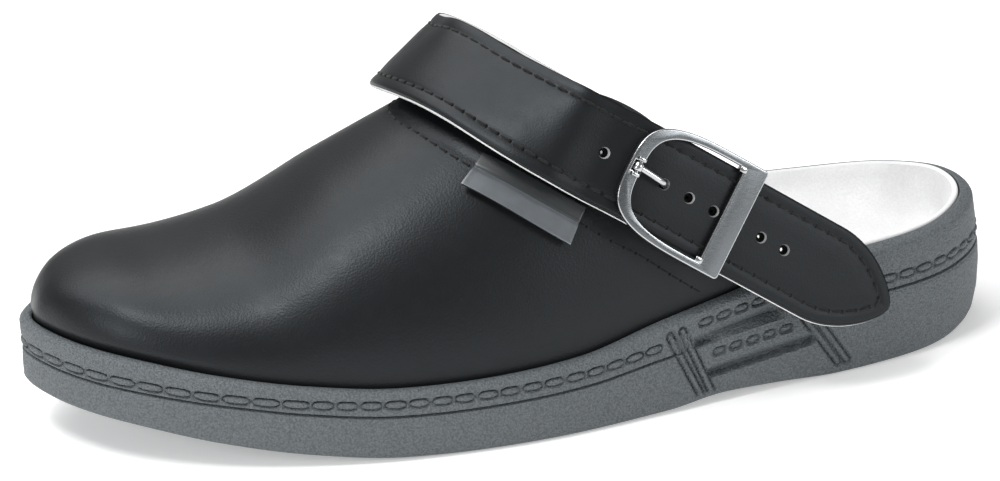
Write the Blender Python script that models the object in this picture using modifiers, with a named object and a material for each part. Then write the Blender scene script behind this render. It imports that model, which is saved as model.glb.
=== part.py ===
"""A chef's slip-on clog, left shoe, with a buckled heel strap worn over the instep.

Run with: blender --background --python part.py
Units are metres. The toe points to -X, the outer side of the foot is -Y, and
the floor is Z = 0. The origin is the middle of the heel's flat underside.
"""
import math

import bmesh
import bpy
import numpy as np
from mathutils import Matrix, Vector

MM = 0.001

# Driving sizes
SOLE_LENGTH = 290.0 * MM
BALL_WIDTH = 109.0 * MM
INSTEP_RISE = 82.0 * MM        # height scale of the upper above the sole's rim
TOE_SPRING = 13.5 * MM
WAIST_LIFT = 2.0 * MM
HEEL_MIDDLE = 0.85             # share of the length where the origin stands
BACK_RISE = 3.0 * MM

# Sole: outline as shares of length and ball width, outer side then inner side
OUTLINE = [  # along, outer, inner
    (0.020, 0.122, 0.164), (0.070, 0.280, 0.334), (0.150, 0.404, 0.450),
    (0.250, 0.486, 0.477), (0.360, 0.531, 0.459), (0.480, 0.532, 0.400),
    (0.600, 0.482, 0.352), (0.720, 0.422, 0.330), (0.840, 0.368, 0.312),
    (0.930, 0.290, 0.262), (0.985, 0.150, 0.145)]
TOE_TIP_ACROSS = 0.025
HEEL_TIP_ACROSS = 0.0
OUTLINE_STEPS = 5              # points between two rows of the outline
LEVELS = [  # along, share of toe spring, share of waist lift, share of heel height
    (0.00, 1.00, 0.0, 0.00), (0.08, 0.83, 0.0, 0.00), (0.16, 0.53, 0.0, 0.00),
    (0.25, 0.22, 0.0, 0.00), (0.34, 0.03, 0.0, 0.00), (0.42, 0.00, 0.0, 0.02),
    (0.52, 0.00, 0.0, 0.12), (0.61, 0.00, 0.2, 0.45), (0.67, 0.00, 1.0, 0.64),
    (0.73, 0.00, 0.6, 0.82), (0.80, 0.00, 0.0, 1.00), (1.00, 0.00, 0.0, 1.00)]
HEEL_TUCK = [  # share of the rim's height, how far the back leans in (mm)
    (0.00, 6.6), (0.03, 4.9), (0.10, 3.0), (0.25, 1.6), (0.45, 1.1), (0.70, 1.5), (1.00, 3.2)]
GROOVE_AT_BALL = 13.2 * MM     # height of the step in the side wall
GROOVE_AT_HEEL = 22.7 * MM
RIM_AT_BALL = 21.0 * MM        # height of the sole's top edge
RIM_AT_HEEL = 37.6 * MM
FLOOR_AT_BALL = 9.0 * MM       # thickness under the footbed
FLOOR_AT_HEEL = 18.0 * MM
CAVITY_INSET = 3.8 * MM        # from the outline to the well's wall
TREAD_DEPTH = 1.5 * MM
TREAD_BARS = [  # along, half length across as a share of the ball width
    (0.20, 0.36), (0.26, 0.38), (0.32, 0.39), (0.38, 0.39), (0.56, 0.28),
    (0.75, 0.24), (0.90, 0.19), (0.94, 0.15)]
SLOTS = [  # along of the front end, along of the back end, heights as shares of the rim
    (0.645, 0.739, 0.67, 0.73), (0.659, 0.766, 0.33, 0.40)]
SLOT_HEIGHT = 3.3 * MM
SLOT_DEPTH = 1.6 * MM
RIBS = [  # along at the top, along at the foot, height of each end as a share of the rim
    (0.613, 0.646, 0.84, 0.10), (0.627, 0.658, 0.84, 0.10),
    (0.757, 0.797, 0.62, 0.12), (0.770, 0.810, 0.62, 0.12)]
RIB_WIDTH = 1.7 * MM
RIB_RISE = 0.9 * MM

# Upper: sections from the toe to the collar
UPPER_INSET = 4.2 * MM
UPPER_WALL = 2.0 * MM
UPPER_BELOW_RIM = 6.0 * MM     # how far the wall goes down inside the sole
UPPER_SECTIONS = [  # along, height, ridge across, roundness
    (0.00, 0.000, 0.045, 2.90), (0.01, 0.108, 0.045, 2.85), (0.03, 0.177, 0.045, 2.70),
    (0.07, 0.226, 0.045, 2.50), (0.12, 0.264, 0.040, 2.40), (0.20, 0.371, 0.035, 2.30),
    (0.30, 0.604, 0.035, 2.20),
    (0.40, 0.783, 0.045, 2.05), (0.50, 0.930, 0.055, 1.95), (0.60, 1.050, 0.045, 1.90),
    (0.80, 1.200, 0.000, 1.90)]
COLLAR = [  # way round the foot (0 outer edge, 0.5 ridge), where the collar is along
    (0.00, 0.735), (0.05, 0.712), (0.10, 0.680), (0.15, 0.635), (0.20, 0.575),
    (0.25, 0.500), (0.30, 0.462), (0.36, 0.434), (0.42, 0.414), (0.50, 0.404)]
UPPER_ROWS = 26
UPPER_COLUMNS = 38

# Footbed: a cupped loose bed in the sole's well
FOOTBED_THICK = 5.0 * MM
FOOTBED_GAP = 0.3 * MM
FOOTBED_UNDER_UPPER = 6.7 * MM  # inset of its edge where the upper comes down
FOOTBED_BEHIND = 4.2 * MM       # inset of its edge behind the upper

# Strap
STRAP_WIDTH = 28.0 * MM
STRAP_THICK = 2.6 * MM
STRAP_TIP = 24.0 * MM
STRAP_REACH = 68.8 * MM        # from the buckle's middle to the tip
STRAP_ARCH = [  # along, across, height, then which way the strap's back edge leans
    (0.416, 0.123, 1.178, 0.80, 0.19, 0.57), (0.423, 0.018, 1.203, 0.76, 0.29, 0.59),
    (0.437, -0.073, 1.200, 0.72, 0.42, 0.56), (0.458, -0.176, 1.172, 0.68, 0.51, 0.53),
    (0.480, -0.264, 1.134, 0.64, 0.49, 0.60), (0.502, -0.338, 1.094, 0.59, 0.44, 0.68),
    (0.525, -0.390, 1.049, 0.52, 0.34, 0.76)]
STRAP_INSIDE = [  # the far side, from the rivet up to the arch
    (0.541, 0.349, 0.841, 0.57, -0.14, 0.81), (0.500, 0.362, 0.945, 0.58, -0.14, 0.80),
    (0.464, 0.349, 1.030, 0.64, -0.11, 0.76), (0.436, 0.298, 1.098, 0.72, -0.03, 0.69),
    (0.418, 0.220, 1.146, 0.78, 0.08, 0.62)]
INNER_RIVET = (0.612, 0.900)   # place on the upper: along, way round
OUTER_RIVET = (0.594, 0.160)
HOLE_RADIUS = 1.65 * MM
HOLES = (-29.5, -19.6, -10.5, -1.9, 6.5, 14.8, 23.1, 31.2)    # in mm down the strap
PRONG_DOWN = HOLES[2] * MM      # the hole that the prong is in

# Buckle: its own axes are down the strap, across it and out of it
BUCKLE_PLACE = (0.6425, -0.4595, 0.776)    # along, across, height of the strap's face
BUCKLE_DOWN = (0.819, -0.061, -0.570)
BUCKLE_ACROSS = (0.565, 0.257, 0.784)
FRAME_FRONT = -23.4 * MM
FRAME_HALF_WIDTH = 17.0 * MM
BAR_FRONT = 8.4 * MM
BAR_BACK = 15.6 * MM
ARC_BAND = 4.0 * MM
RAIL_BAND = 2.2 * MM
FRAME_THICK = 2.2 * MM
FRAME_GAP = 0.3 * MM
ARC_SQUARENESS = 3.5
SLOT_HALF_WIDTH = 14.5 * MM
UNDER_BAR = (12.0 * MM, -5.7 * MM, 1.0 * MM)    # down the strap, out of it, radius
PRONG_RADIUS = 0.85 * MM
PIN_PLACE = (-20.5 * MM, 2.2 * MM)
PIN_RADIUS = 0.6 * MM
PRONG_SIDE = 0.6 * MM
KNUCKLE_RADIUS = 1.45 * MM

# Tag folded over the collar seam: three lines, each from its front to its back end
TAG_LINES = [  # along, way round at the front, then at the back, distance off the upper
    (0.444, 0.305, 0.533, 0.174, 0.4), (0.432, 0.291, 0.523, 0.160, 0.5),
    (0.416, 0.271, 0.509, 0.141, 2.6)]
TAG_THICK = 1.0 * MM

COLOURS = {  # red, green, blue, roughness, metallic
    "sole": (0.150, 0.165, 0.170, 0.62, 0.0),
    "footbed": (0.780, 0.780, 0.790, 0.85, 0.0),
    "upper": (0.032, 0.034, 0.036, 0.42, 0.0),
    "heel_strap": (0.030, 0.032, 0.034, 0.45, 0.0),
    "buckle_strap": (0.030, 0.032, 0.034, 0.50, 0.0),
    "buckle_frame": (0.560, 0.570, 0.580, 0.25, 1.0),
    "buckle_prong": (0.600, 0.610, 0.620, 0.22, 1.0),
    "outer_rivet": (0.560, 0.570, 0.580, 0.30, 1.0),
    "inner_rivet": (0.560, 0.570, 0.580, 0.30, 1.0),
    "tag": (0.060, 0.062, 0.065, 0.38, 0.3)}


# Small tools

def smooth(table, column, where):
    """Read one column of a table as a smooth curve that never overshoots a row."""
    xs = np.array([row[0] for row in table])
    ys = np.array([row[column] for row in table])
    steps = np.diff(xs)
    slopes = np.diff(ys) / steps
    tangents = np.zeros(len(xs))
    tangents[0], tangents[-1] = slopes[0], slopes[-1]
    for i in range(1, len(xs) - 1):
        if slopes[i - 1] * slopes[i] > 0:
            before = 2 * steps[i] + steps[i - 1]
            after = steps[i] + 2 * steps[i - 1]
            tangents[i] = (before + after) / (before / slopes[i - 1] + after / slopes[i])
    where = np.asarray(where, float)
    i = np.clip(np.searchsorted(xs, where) - 1, 0, len(xs) - 2)
    t = np.clip((where - xs[i]) / steps[i], 0, 1)
    return ((2 * t**3 - 3 * t**2 + 1) * ys[i] + (t**3 - 2 * t**2 + t) * steps[i] * tangents[i]
            + (3 * t**2 - 2 * t**3) * ys[i + 1] + (t**3 - t**2) * steps[i] * tangents[i + 1])


def through(points, steps, closed=False):
    """A rounded curve through a few points, with the same number of steps in each span."""
    points = np.asarray(points, float)
    count = len(points)
    if not closed:
        points = np.vstack([2 * points[0] - points[1], points, 2 * points[-1] - points[-2]])
    out = []
    for i in range(count if closed else count - 1):
        p0, p1, p2, p3 = (points[(i + k - (1 if closed else 0)) % len(points)] for k in range(4))
        d0, d1, d2 = (math.sqrt(np.linalg.norm(b - a)) for a, b in ((p0, p1), (p1, p2), (p2, p3)))
        m1 = d1 * ((p1 - p0) / d0 - (p2 - p0) / (d0 + d1) + (p2 - p1) / d1)
        m2 = d1 * ((p2 - p1) / d1 - (p3 - p1) / (d1 + d2) + (p3 - p2) / d2)
        for k in range(steps):
            t = k / steps
            out.append((2 * t**3 - 3 * t * t + 1) * p1 + (t**3 - 2 * t * t + t) * m1
                       + (3 * t * t - 2 * t**3) * p2 + (t**3 - t * t) * m2)
    if not closed:
        out.append(points[-2])
    return np.array(out)


def unit(vector):
    vector = np.asarray(vector, float)
    return vector / np.linalg.norm(vector)


def place(along, across, height):
    """Shares of length, ball width and instep rise, as a point in metres."""
    return np.array([(along - HEEL_MIDDLE) * SOLE_LENGTH, across * BALL_WIDTH, height * INSTEP_RISE])


def along_of(x):
    return np.clip(np.asarray(x) / SOLE_LENGTH + HEEL_MIDDLE, 0.0, 1.0)


# Scene, materials and meshes

def clear_scene():
    for thing in list(bpy.data.objects):
        bpy.data.objects.remove(thing, do_unlink=True)


def collection(name, hidden=False):
    group = bpy.data.collections.new(name)
    bpy.context.scene.collection.children.link(group)
    group.hide_render = hidden
    return group


def material(name):
    red, green, blue, roughness, metallic = COLOURS[name]
    made = bpy.data.materials.new(name)
    made.use_nodes = True
    made.diffuse_color = (red, green, blue, 1.0)
    shader = made.node_tree.nodes["Principled BSDF"]
    shader.inputs["Base Color"].default_value = (red, green, blue, 1.0)
    shader.inputs["Roughness"].default_value = roughness
    shader.inputs["Metallic"].default_value = metallic
    return made


def make_object(name, points, faces, group, look=None):
    """A mesh object from points and faces, with its normals turned outwards."""
    mesh = bpy.data.meshes.new(name)
    mesh.from_pydata([tuple(p) for p in points], [], faces)
    work = bmesh.new()
    work.from_mesh(mesh)
    bmesh.ops.remove_doubles(work, verts=work.verts, dist=1e-6)
    bmesh.ops.recalc_face_normals(work, faces=work.faces)
    work.to_mesh(mesh)
    work.free()
    thing = bpy.data.objects.new(name, mesh)
    if look:
        mesh.materials.append(look)
    group.objects.link(thing)
    return thing


def as_tool(thing):
    thing.hide_render = True
    thing.display_type = 'WIRE'
    return thing


def combine(thing, tool, how):
    boolean = thing.modifiers.new(tool.name, 'BOOLEAN')
    boolean.operation = how
    boolean.solver = 'EXACT'
    boolean.object = as_tool(tool)


def grid_faces(rows, columns, start=0, flip=False, closed=False):
    """Quads between rows of points that are stored one row after another."""
    faces = []
    last = columns if closed else columns - 1
    for i in range(rows - 1):
        for j in range(last):
            a = start + i * columns + j
            b = start + i * columns + (j + 1) % columns
            face = (a, b, b + columns, a + columns)
            faces.append(face[::-1] if flip else face)
    return faces


def prism(name, outline, low, high, group, look=None):
    """An outline in the first two axes, made solid between two levels of the third."""
    count = len(outline)
    points = [(x, y, low) for x, y in outline] + [(x, y, high) for x, y in outline]
    faces = [tuple(range(count))[::-1], tuple(range(count, 2 * count))]
    faces += [(i, (i + 1) % count, count + (i + 1) % count, count + i) for i in range(count)]
    return make_object(name, points, faces, group, look)


def turned(name, profile, sides, start, axis, group, look=None):
    """A profile of radius and height turned about an axis through a start point."""
    axis = Vector(axis).normalized()
    first = axis.orthogonal().normalized()
    second = axis.cross(first)
    points = []
    for radius, height in profile:
        for k in range(sides):
            angle = 2 * math.pi * k / sides
            points.append(Vector(start) + axis * height
                          + first * radius * math.cos(angle) + second * radius * math.sin(angle))
    faces = grid_faces(len(profile), sides, closed=True)
    faces.append(tuple(range(sides))[::-1])
    faces.append(tuple(range((len(profile) - 1) * sides, len(profile) * sides)))
    return make_object(name, points, faces, group, look)


def tube(name, path, radius, sides, group, look=None):
    """A round wire with flat ends along a path."""
    path = np.asarray(path, float)
    tangents = np.gradient(path, axis=0)
    side = Vector(tangents[0]).orthogonal().normalized()
    points = []
    for centre, tangent in zip(path, tangents):
        tangent = Vector(tangent).normalized()
        side = (side - tangent * side.dot(tangent)).normalized()
        other = tangent.cross(side)
        for k in range(sides):
            angle = 2 * math.pi * k / sides
            points.append(Vector(centre) + side * radius * math.cos(angle)
                          + other * radius * math.sin(angle))
    faces = grid_faces(len(path), sides, closed=True)
    faces.append(tuple(range(sides))[::-1])
    faces.append(tuple(range((len(path) - 1) * sides, len(path) * sides)))
    return make_object(name, points, faces, group, look)


# The sole's shape

def outline_ring():
    """The sole's outline as points: toe tip, outer side, heel tip, inner side."""
    rows = [(0.0, TOE_TIP_ACROSS)] + [(s, -outer) for s, outer, inner in OUTLINE]
    rows += [(1.0, HEEL_TIP_ACROSS)] + [(s, inner) for s, outer, inner in OUTLINE[::-1]]
    corners = [((s - HEEL_MIDDLE) * SOLE_LENGTH, y * BALL_WIDTH) for s, y in rows]
    return through(corners, OUTLINE_STEPS, closed=True)


def inset(ring, distance):
    """Move a ring's points inwards, along its normals."""
    tangent = np.roll(ring, -1, 0) - np.roll(ring, 1, 0)
    tangent /= np.linalg.norm(tangent, axis=1)[:, None]
    inward = np.c_[-tangent[:, 1], tangent[:, 0]]
    if ((ring.mean(0) - ring) * inward).sum() < 0:
        inward = -inward
    return ring + inward * np.reshape(distance, (-1, 1))


def underside(s):
    return TOE_SPRING * smooth(LEVELS, 1, s) + WAIST_LIFT * smooth(LEVELS, 2, s)


def level(s, at_ball, at_heel, back_share):
    """A line round the side wall that follows the toe spring and climbs to the heel."""
    climb = smooth(LEVELS, 3, s)
    back = np.clip((np.asarray(s) - 0.8) / 0.2, 0, 1) ** 2
    return (TOE_SPRING * smooth(LEVELS, 1, s) + at_ball + (at_heel - at_ball) * climb
            + BACK_RISE * back_share * back)


def groove_level(s):
    return level(s, GROOVE_AT_BALL, GROOVE_AT_HEEL, 0.7)


def rim_level(s):
    return level(s, RIM_AT_BALL, RIM_AT_HEEL, 1.0)


def floor_level(s):
    return level(s, FLOOR_AT_BALL, FLOOR_AT_HEEL, 0.0)


def heel_tuck(s, height):
    """How far the back of the heel leans in: most at its foot, least a third of the way up."""
    up = np.clip(height / rim_level(s), 0, 1)
    lean = np.interp(up, [row[0] for row in HEEL_TUCK], [row[1] for row in HEEL_TUCK])
    return np.clip((s - 0.84) / 0.16, 0, 1) ** 2 * lean * MM


def sides_of(ring):
    """Split a ring that starts at the toe into its outer and inner side, toe to heel."""
    half = len(ring) // 2
    return ring[:half + 1], np.vstack([ring[:1], ring[:half - 1:-1]])


def bridge_faces(count, first, columns, start):
    """Faces of a cap between the ring's two sides: inner points are stored from start."""
    half = count // 2
    across = columns - 1

    def corner(i, j):
        if i in (0, half):
            return first + i
        if j == 0:
            return first + i
        if j == across:
            return first + (count - i) % count
        return start + (i - 1) * (across - 1) + j - 1

    faces = []
    for i in range(half):
        for j in range(across):
            face = [corner(i, j), corner(i + 1, j), corner(i + 1, j + 1), corner(i, j + 1)]
            face = [v for k, v in enumerate(face) if v != face[k - 1]]
            if len(face) > 2:
                faces.append(tuple(face))
    return faces


def capped_rings(name, rings, first_cap, last_cap, columns, group, look):
    """A solid from stacked closed rings, with both ends bridged from side to side."""
    count = len(rings[0])
    half = count // 2
    points = [p for ring in rings for p in ring]
    faces = grid_faces(len(rings), count, closed=True)
    for ring, first, height_at in ((rings[0], 0, first_cap),
                                   (rings[-1], (len(rings) - 1) * count, last_cap)):
        start = len(points)
        for i in range(1, half):
            a, b = ring[i], ring[count - i]
            for j in range(1, columns - 1):
                share = j / (columns - 1)
                p = a + (b - a) * share
                points.append((p[0], p[1], height_at(p[0], 2 * share - 1, a[2])))
        faces += bridge_faces(count, first, columns, start)
    return make_object(name, points, faces, group, look)


def ring_at(outline, distance, height):
    flat = inset(outline, distance)
    return np.c_[flat, np.broadcast_to(height, len(flat))]


def wall_point(s, side, height_share, out=0.0):
    """A point on the side wall. Side is -1 for the outer side and 1 for the inner."""
    outer, inner = sides_of(outline_ring())
    edge = outer if side < 0 else inner
    x = (s - HEEL_MIDDLE) * SOLE_LENGTH
    y = np.interp(x, edge[:, 0], edge[:, 1])
    ahead = np.interp(x + 3 * MM, edge[:, 0], edge[:, 1]) - np.interp(x - 3 * MM, edge[:, 0], edge[:, 1])
    outward = unit((-side * ahead / (6 * MM), side, 0.0))
    point = np.array([x, y, height_share * float(rim_level(s))])
    return point + outward * out, outward


def side_bar(name, ends, width, low, high, group, rounded):
    """A bar lying along the side wall from one end to the other, from low to high off it."""
    (start, out_a), (end, out_b) = ends
    direction = unit(end - start)
    outward = unit(out_a + out_b)
    up = unit(np.cross(outward, direction))
    direction = np.cross(up, outward)
    length = float(np.dot(end - start, direction))
    half = width / 2
    turns = 8 if rounded else 2
    outline = []
    for centre, turn in ((length, -90), (0.0, 90)):
        for k in range(turns + 1 if rounded else 2):
            angle = math.radians(turn + 180 * k / (turns if rounded else 1))
            reach = half * math.cos(angle) if rounded else 0.0
            outline.append((centre + reach, half * math.sin(angle)))
    bar = prism(name, outline, low, high, group)
    bar.matrix_world = Matrix((
        (direction[0], up[0], outward[0], start[0]), (direction[1], up[1], outward[1], start[1]),
        (direction[2], up[2], outward[2], start[2]), (0, 0, 0, 1)))
    return bar


def make_sole(group, tools):
    ring = outline_ring()
    s = along_of(ring[:, 0])
    low = underside(s)
    groove = groove_level(s)
    rim = rim_level(s)
    floor = floor_level(s)
    upper_half = (groove + 4.8 * MM + rim - 2.2 * MM) / 2
    slope = smooth(LEVELS, 3, s) * MM    # towards the heel the rim's top slopes outwards
    steps = [  # inset, height
        (4.5, low), (1.1, low + 0.5 * MM), (0.2, low + 1.9 * MM), (0.0, low + (groove - low) * 0.5),
        (0.3, groove - 0.9 * MM), (1.4, groove - 0.3 * MM), (1.4, groove + 0.3 * MM),
        (0.5, groove + 0.9 * MM), (0.5, groove + 3.6 * MM), (1.2, groove + 4.1 * MM),
        (0.2, groove + 4.8 * MM), (0.0, upper_half), (0.6, rim - 1.0 * MM - slope),
        (1.8, rim - 0.9 * slope), (3.2, rim - 0.1 * MM - 0.2 * slope),
        (CAVITY_INSET / MM, rim - 0.8 * MM + 0.5 * slope), (CAVITY_INSET / MM, floor)]
    rings = []
    for distance, height in steps:
        rings.append(ring_at(ring, distance * MM + heel_tuck(s, height), height))
    sole = capped_rings("sole", rings, lambda x, v, z: float(underside(along_of(x))),
                        lambda x, v, z: float(floor_level(along_of(x))), 6, group, material("sole"))
    for i, (front, back, low_end, high_end) in enumerate(SLOTS):
        for side in (-1, 1):
            ends = (wall_point(front, side, low_end), wall_point(back, side, high_end))
            combine(sole, side_bar(f"slot_{i}_{side}", ends, SLOT_HEIGHT, -SLOT_DEPTH, 6 * MM,
                                   tools, True), 'DIFFERENCE')
    for i, (top, foot, high_end, low_end) in enumerate(RIBS):
        for side in (-1, 1):
            ends = (wall_point(foot, side, low_end), wall_point(top, side, high_end))
            combine(sole, side_bar(f"rib_{i}_{side}", ends, RIB_WIDTH, -2.2 * MM, RIB_RISE,
                                   tools, True), 'UNION')
    for i, (bar_along, half) in enumerate(TREAD_BARS):
        x = (bar_along - HEEL_MIDDLE) * SOLE_LENGTH
        z = float(underside(bar_along))
        slope = (float(underside(bar_along + 0.01)) - float(underside(bar_along - 0.01)))
        shift = 0.02 * BALL_WIDTH * (-1 if bar_along > 0.3 else 1)
        outline = [(x - 1.6 * MM, shift - half * BALL_WIDTH), (x + 1.6 * MM, shift - half * BALL_WIDTH),
                   (x + 1.6 * MM, shift + half * BALL_WIDTH), (x - 1.6 * MM, shift + half * BALL_WIDTH)]
        depth = TREAD_DEPTH + abs(slope) * 0.1
        combine(sole, prism(f"tread_{i}", outline, z - 6 * MM, z + depth, tools), 'DIFFERENCE')
    return sole


# The upper's shape

def feather_sides():
    """The line where the upper meets the sole, as an outer and an inner side."""
    return sides_of(inset(outline_ring(), UPPER_INSET))


def upper_points(s, u):
    """The upper's outer face: s runs from the toe back, u from the outer edge over the foot."""
    s, u = np.broadcast_arrays(np.asarray(s, float), np.asarray(u, float))
    outer, inner = feather_sides()
    toe = outer[0, 0]
    x = toe + s * ((1 - HEEL_MIDDLE) * SOLE_LENGTH - toe)
    y_outer = np.interp(x, outer[:, 0], outer[:, 1])
    y_inner = np.interp(x, inner[:, 0], inner[:, 1])
    middle = (y_outer + y_inner) / 2
    settled = np.clip(s / 0.06, 0, 1)
    ridge = middle + (smooth(UPPER_SECTIONS, 2, s) * BALL_WIDTH - middle) * settled
    power = 2 / smooth(UPPER_SECTIONS, 3, s)
    cos, sin = np.cos(math.pi * u), np.sin(math.pi * u)
    reach = np.abs(cos) ** power
    y = np.where(cos > 0, ridge + (y_outer - ridge) * reach, ridge + (y_inner - ridge) * reach)
    z = rim_level(along_of(x)) - 1.0 * MM
    z = z + INSTEP_RISE * smooth(UPPER_SECTIONS, 1, s) * np.abs(sin) ** power
    return np.stack([x, y, z], -1)


def upper_normal(s, u):
    here = upper_points(s, u)
    ahead = upper_points(s + 0.004, u) - here
    round_ = upper_points(s, u + 0.004) - here
    normal = np.cross(round_, ahead)
    outward = here - np.array([here[0], 0.0, 0.03])
    return unit(normal if np.dot(normal, outward) > 0 else -normal)


def collar_at(u):
    return smooth(COLLAR, 1, np.minimum(u, 1 - np.asarray(u)))


def make_upper(group):
    """The outer face from toe to collar plus the hidden band below, given a real wall."""
    columns = UPPER_COLUMNS + 1
    u = np.linspace(0, 1, columns)
    shares = np.linspace(0, 1, UPPER_ROWS + 1)[1:] ** 1.55
    tip = upper_points(0.0, 0.5)
    rows = [upper_points(share * collar_at(u), u) for share in shares]
    points = [tip] + [p for row in rows for p in row]
    faces = [(0, 1 + j, 2 + j) for j in range(columns - 1)]
    faces += grid_faces(len(rows), columns, start=1)
    edge = [1 + i * columns for i in range(len(rows) - 1, -1, -1)] + [0]
    edge += [columns + i * columns for i in range(len(rows))]
    start = len(points)
    for index in edge:
        x, y, z = points[index]
        points.append((x, y, float(rim_level(along_of(x))) - UPPER_BELOW_RIM))
    for k in range(len(edge) - 1):
        faces.append((edge[k], edge[k + 1], start + k + 1, start + k))
    upper = make_object("upper", points, faces, group, material("upper"))
    face_out(upper, Vector((tip[0] + 0.05, 0.0, 0.02)))
    wall = upper.modifiers.new("wall", 'SOLIDIFY')
    wall.thickness = UPPER_WALL
    wall.offset = -1
    return upper


def face_out(thing, inside):
    """Turn an open sheet's faces so that they look away from a point inside it."""
    work = bmesh.new()
    work.from_mesh(thing.data)
    votes = sum(face.normal.dot(face.calc_center_median() - inside) for face in work.faces)
    if votes < 0:
        bmesh.ops.reverse_faces(work, faces=work.faces)
    work.to_mesh(thing.data)
    work.free()


# The footbed

def make_footbed(group):
    ring = outline_ring()
    s = along_of(ring[:, 0])
    behind = np.clip((s - 0.745) / 0.06, 0, 1)
    behind = behind * behind * (3 - 2 * behind)
    edge = FOOTBED_UNDER_UPPER + (FOOTBED_BEHIND - FOOTBED_UNDER_UPPER) * behind
    floor = floor_level(s) + FOOTBED_GAP
    top = floor + FOOTBED_THICK + 2.0 * MM
    top = top + (rim_level(s) + 0.1 * MM - top) * behind
    bottom = lambda x, v, z: float(floor_level(along_of(x))) + FOOTBED_GAP
    toe, heel = ring[:, 0].min(), ring[:, 0].max()

    def dished(x, v, z):
        share = along_of(x)
        near_toe = min(1.0, (x - toe) / (26 * MM))
        near_heel = min(1.0, (heel - x) / (24 * MM))
        inner = (1 - abs(v) ** 2.6) * (1 - (1 - near_toe) ** 3) * (1 - (1 - near_heel) ** 3)
        middle = float(floor_level(share)) + FOOTBED_GAP + FOOTBED_THICK
        return z + (middle - z) * inner ** 0.75

    steps = [(edge + 1.0 * MM, floor), (edge, floor + 1.0 * MM), (edge, top - 0.6 * MM),
             (edge + 0.6 * MM, top), (edge + 1.8 * MM, top - 0.5 * MM)]
    tuck = heel_tuck(s, rim_level(s))
    rings = [np.c_[inset(ring, distance + tuck), height] for distance, height in steps]
    return capped_rings("footbed", rings, bottom, dished, 12, group, material("footbed"))


# Buckle axes and the strap's route

def buckle_axes():
    down = unit(BUCKLE_DOWN)
    across = np.array(BUCKLE_ACROSS)
    across = unit(across - down * np.dot(across, down))
    return place(*BUCKLE_PLACE), down, across, np.cross(down, across)


def on_buckle(down, across, out):
    origin, d, a, n = buckle_axes()
    return origin + d * down + a * across + n * out


def buckle_matrix():
    origin, d, a, n = buckle_axes()
    return Matrix(((d[0], a[0], n[0], origin[0]), (d[1], a[1], n[1], origin[1]),
                   (d[2], a[2], n[2], origin[2]), (0, 0, 0, 1)))


def strap_route():
    """Middle line and lean of the strap, from its riveted end to its free tip."""
    origin, down, across, out = buckle_axes()
    normal = upper_normal(*INNER_RIVET)
    seat = upper_points(*INNER_RIVET) + normal * (0.5 * MM + STRAP_THICK)
    back = unit(np.cross(np.cross(normal, (0.82, 0.0, -0.57)), normal))
    lean = unit(np.cross(back, normal))
    lean = lean if lean[2] > 0 else -lean
    route = [(seat + back * 13.5 * MM, lean), (seat, lean), (seat - back * 11 * MM, lean)]
    for row in STRAP_INSIDE + STRAP_ARCH:
        route.append((place(*row[:3]), unit(row[3:])))
    for reach, sunk in ((-30, 3.6), (-22, 1.2), (-13, 0.1), (10, 0.0), (45, 0.0)):
        route.append((origin + (down * reach - out * sunk) * MM, across))
    route.append((origin + down * STRAP_REACH, across))
    both = through([np.r_[c, l * MM] for c, l in route], 5)
    centre, lean = both[:, :3], both[:, 3:]
    lean /= np.linalg.norm(lean, axis=1)[:, None]
    return centre, lean


def strap_sections():
    """Even sections of the strap: middle, lean, outward normal and half width."""
    centre, lean = strap_route()
    length = np.r_[0, np.cumsum(np.linalg.norm(np.diff(centre, axis=0), axis=1))]
    total = length[-1]
    end = STRAP_WIDTH / 2
    stops = list(end * (1 - np.cos(np.linspace(0, math.pi / 2, 7))))
    stops += list(np.arange(end + 4 * MM, total - STRAP_TIP, 4.5 * MM))
    stops += list(total - STRAP_TIP * np.cos(np.linspace(0, math.pi / 2, 9)) ** 1.3)
    stops = np.array(stops)
    middle = np.stack([np.interp(stops, length, centre[:, k]) for k in range(3)], 1)
    leans = np.stack([np.interp(stops, length, lean[:, k]) for k in range(3)], 1)
    forward = np.gradient(middle, axis=0)
    forward /= np.linalg.norm(forward, axis=1)[:, None]
    leans -= forward * (leans * forward).sum(1)[:, None]
    leans /= np.linalg.norm(leans, axis=1)[:, None]
    out = np.cross(forward, leans)
    half = np.full(len(stops), STRAP_WIDTH / 2)
    rounded = np.clip(stops / end, 0, 1)
    half *= np.sqrt(np.clip(1 - (1 - rounded) ** 2, 0.0006, 1))
    tip = np.clip((total - stops) / STRAP_TIP, 0, 1)
    half *= np.maximum(np.sin(math.pi / 2 * tip) ** 0.65, 0.02)
    return middle, leans, out, half


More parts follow.
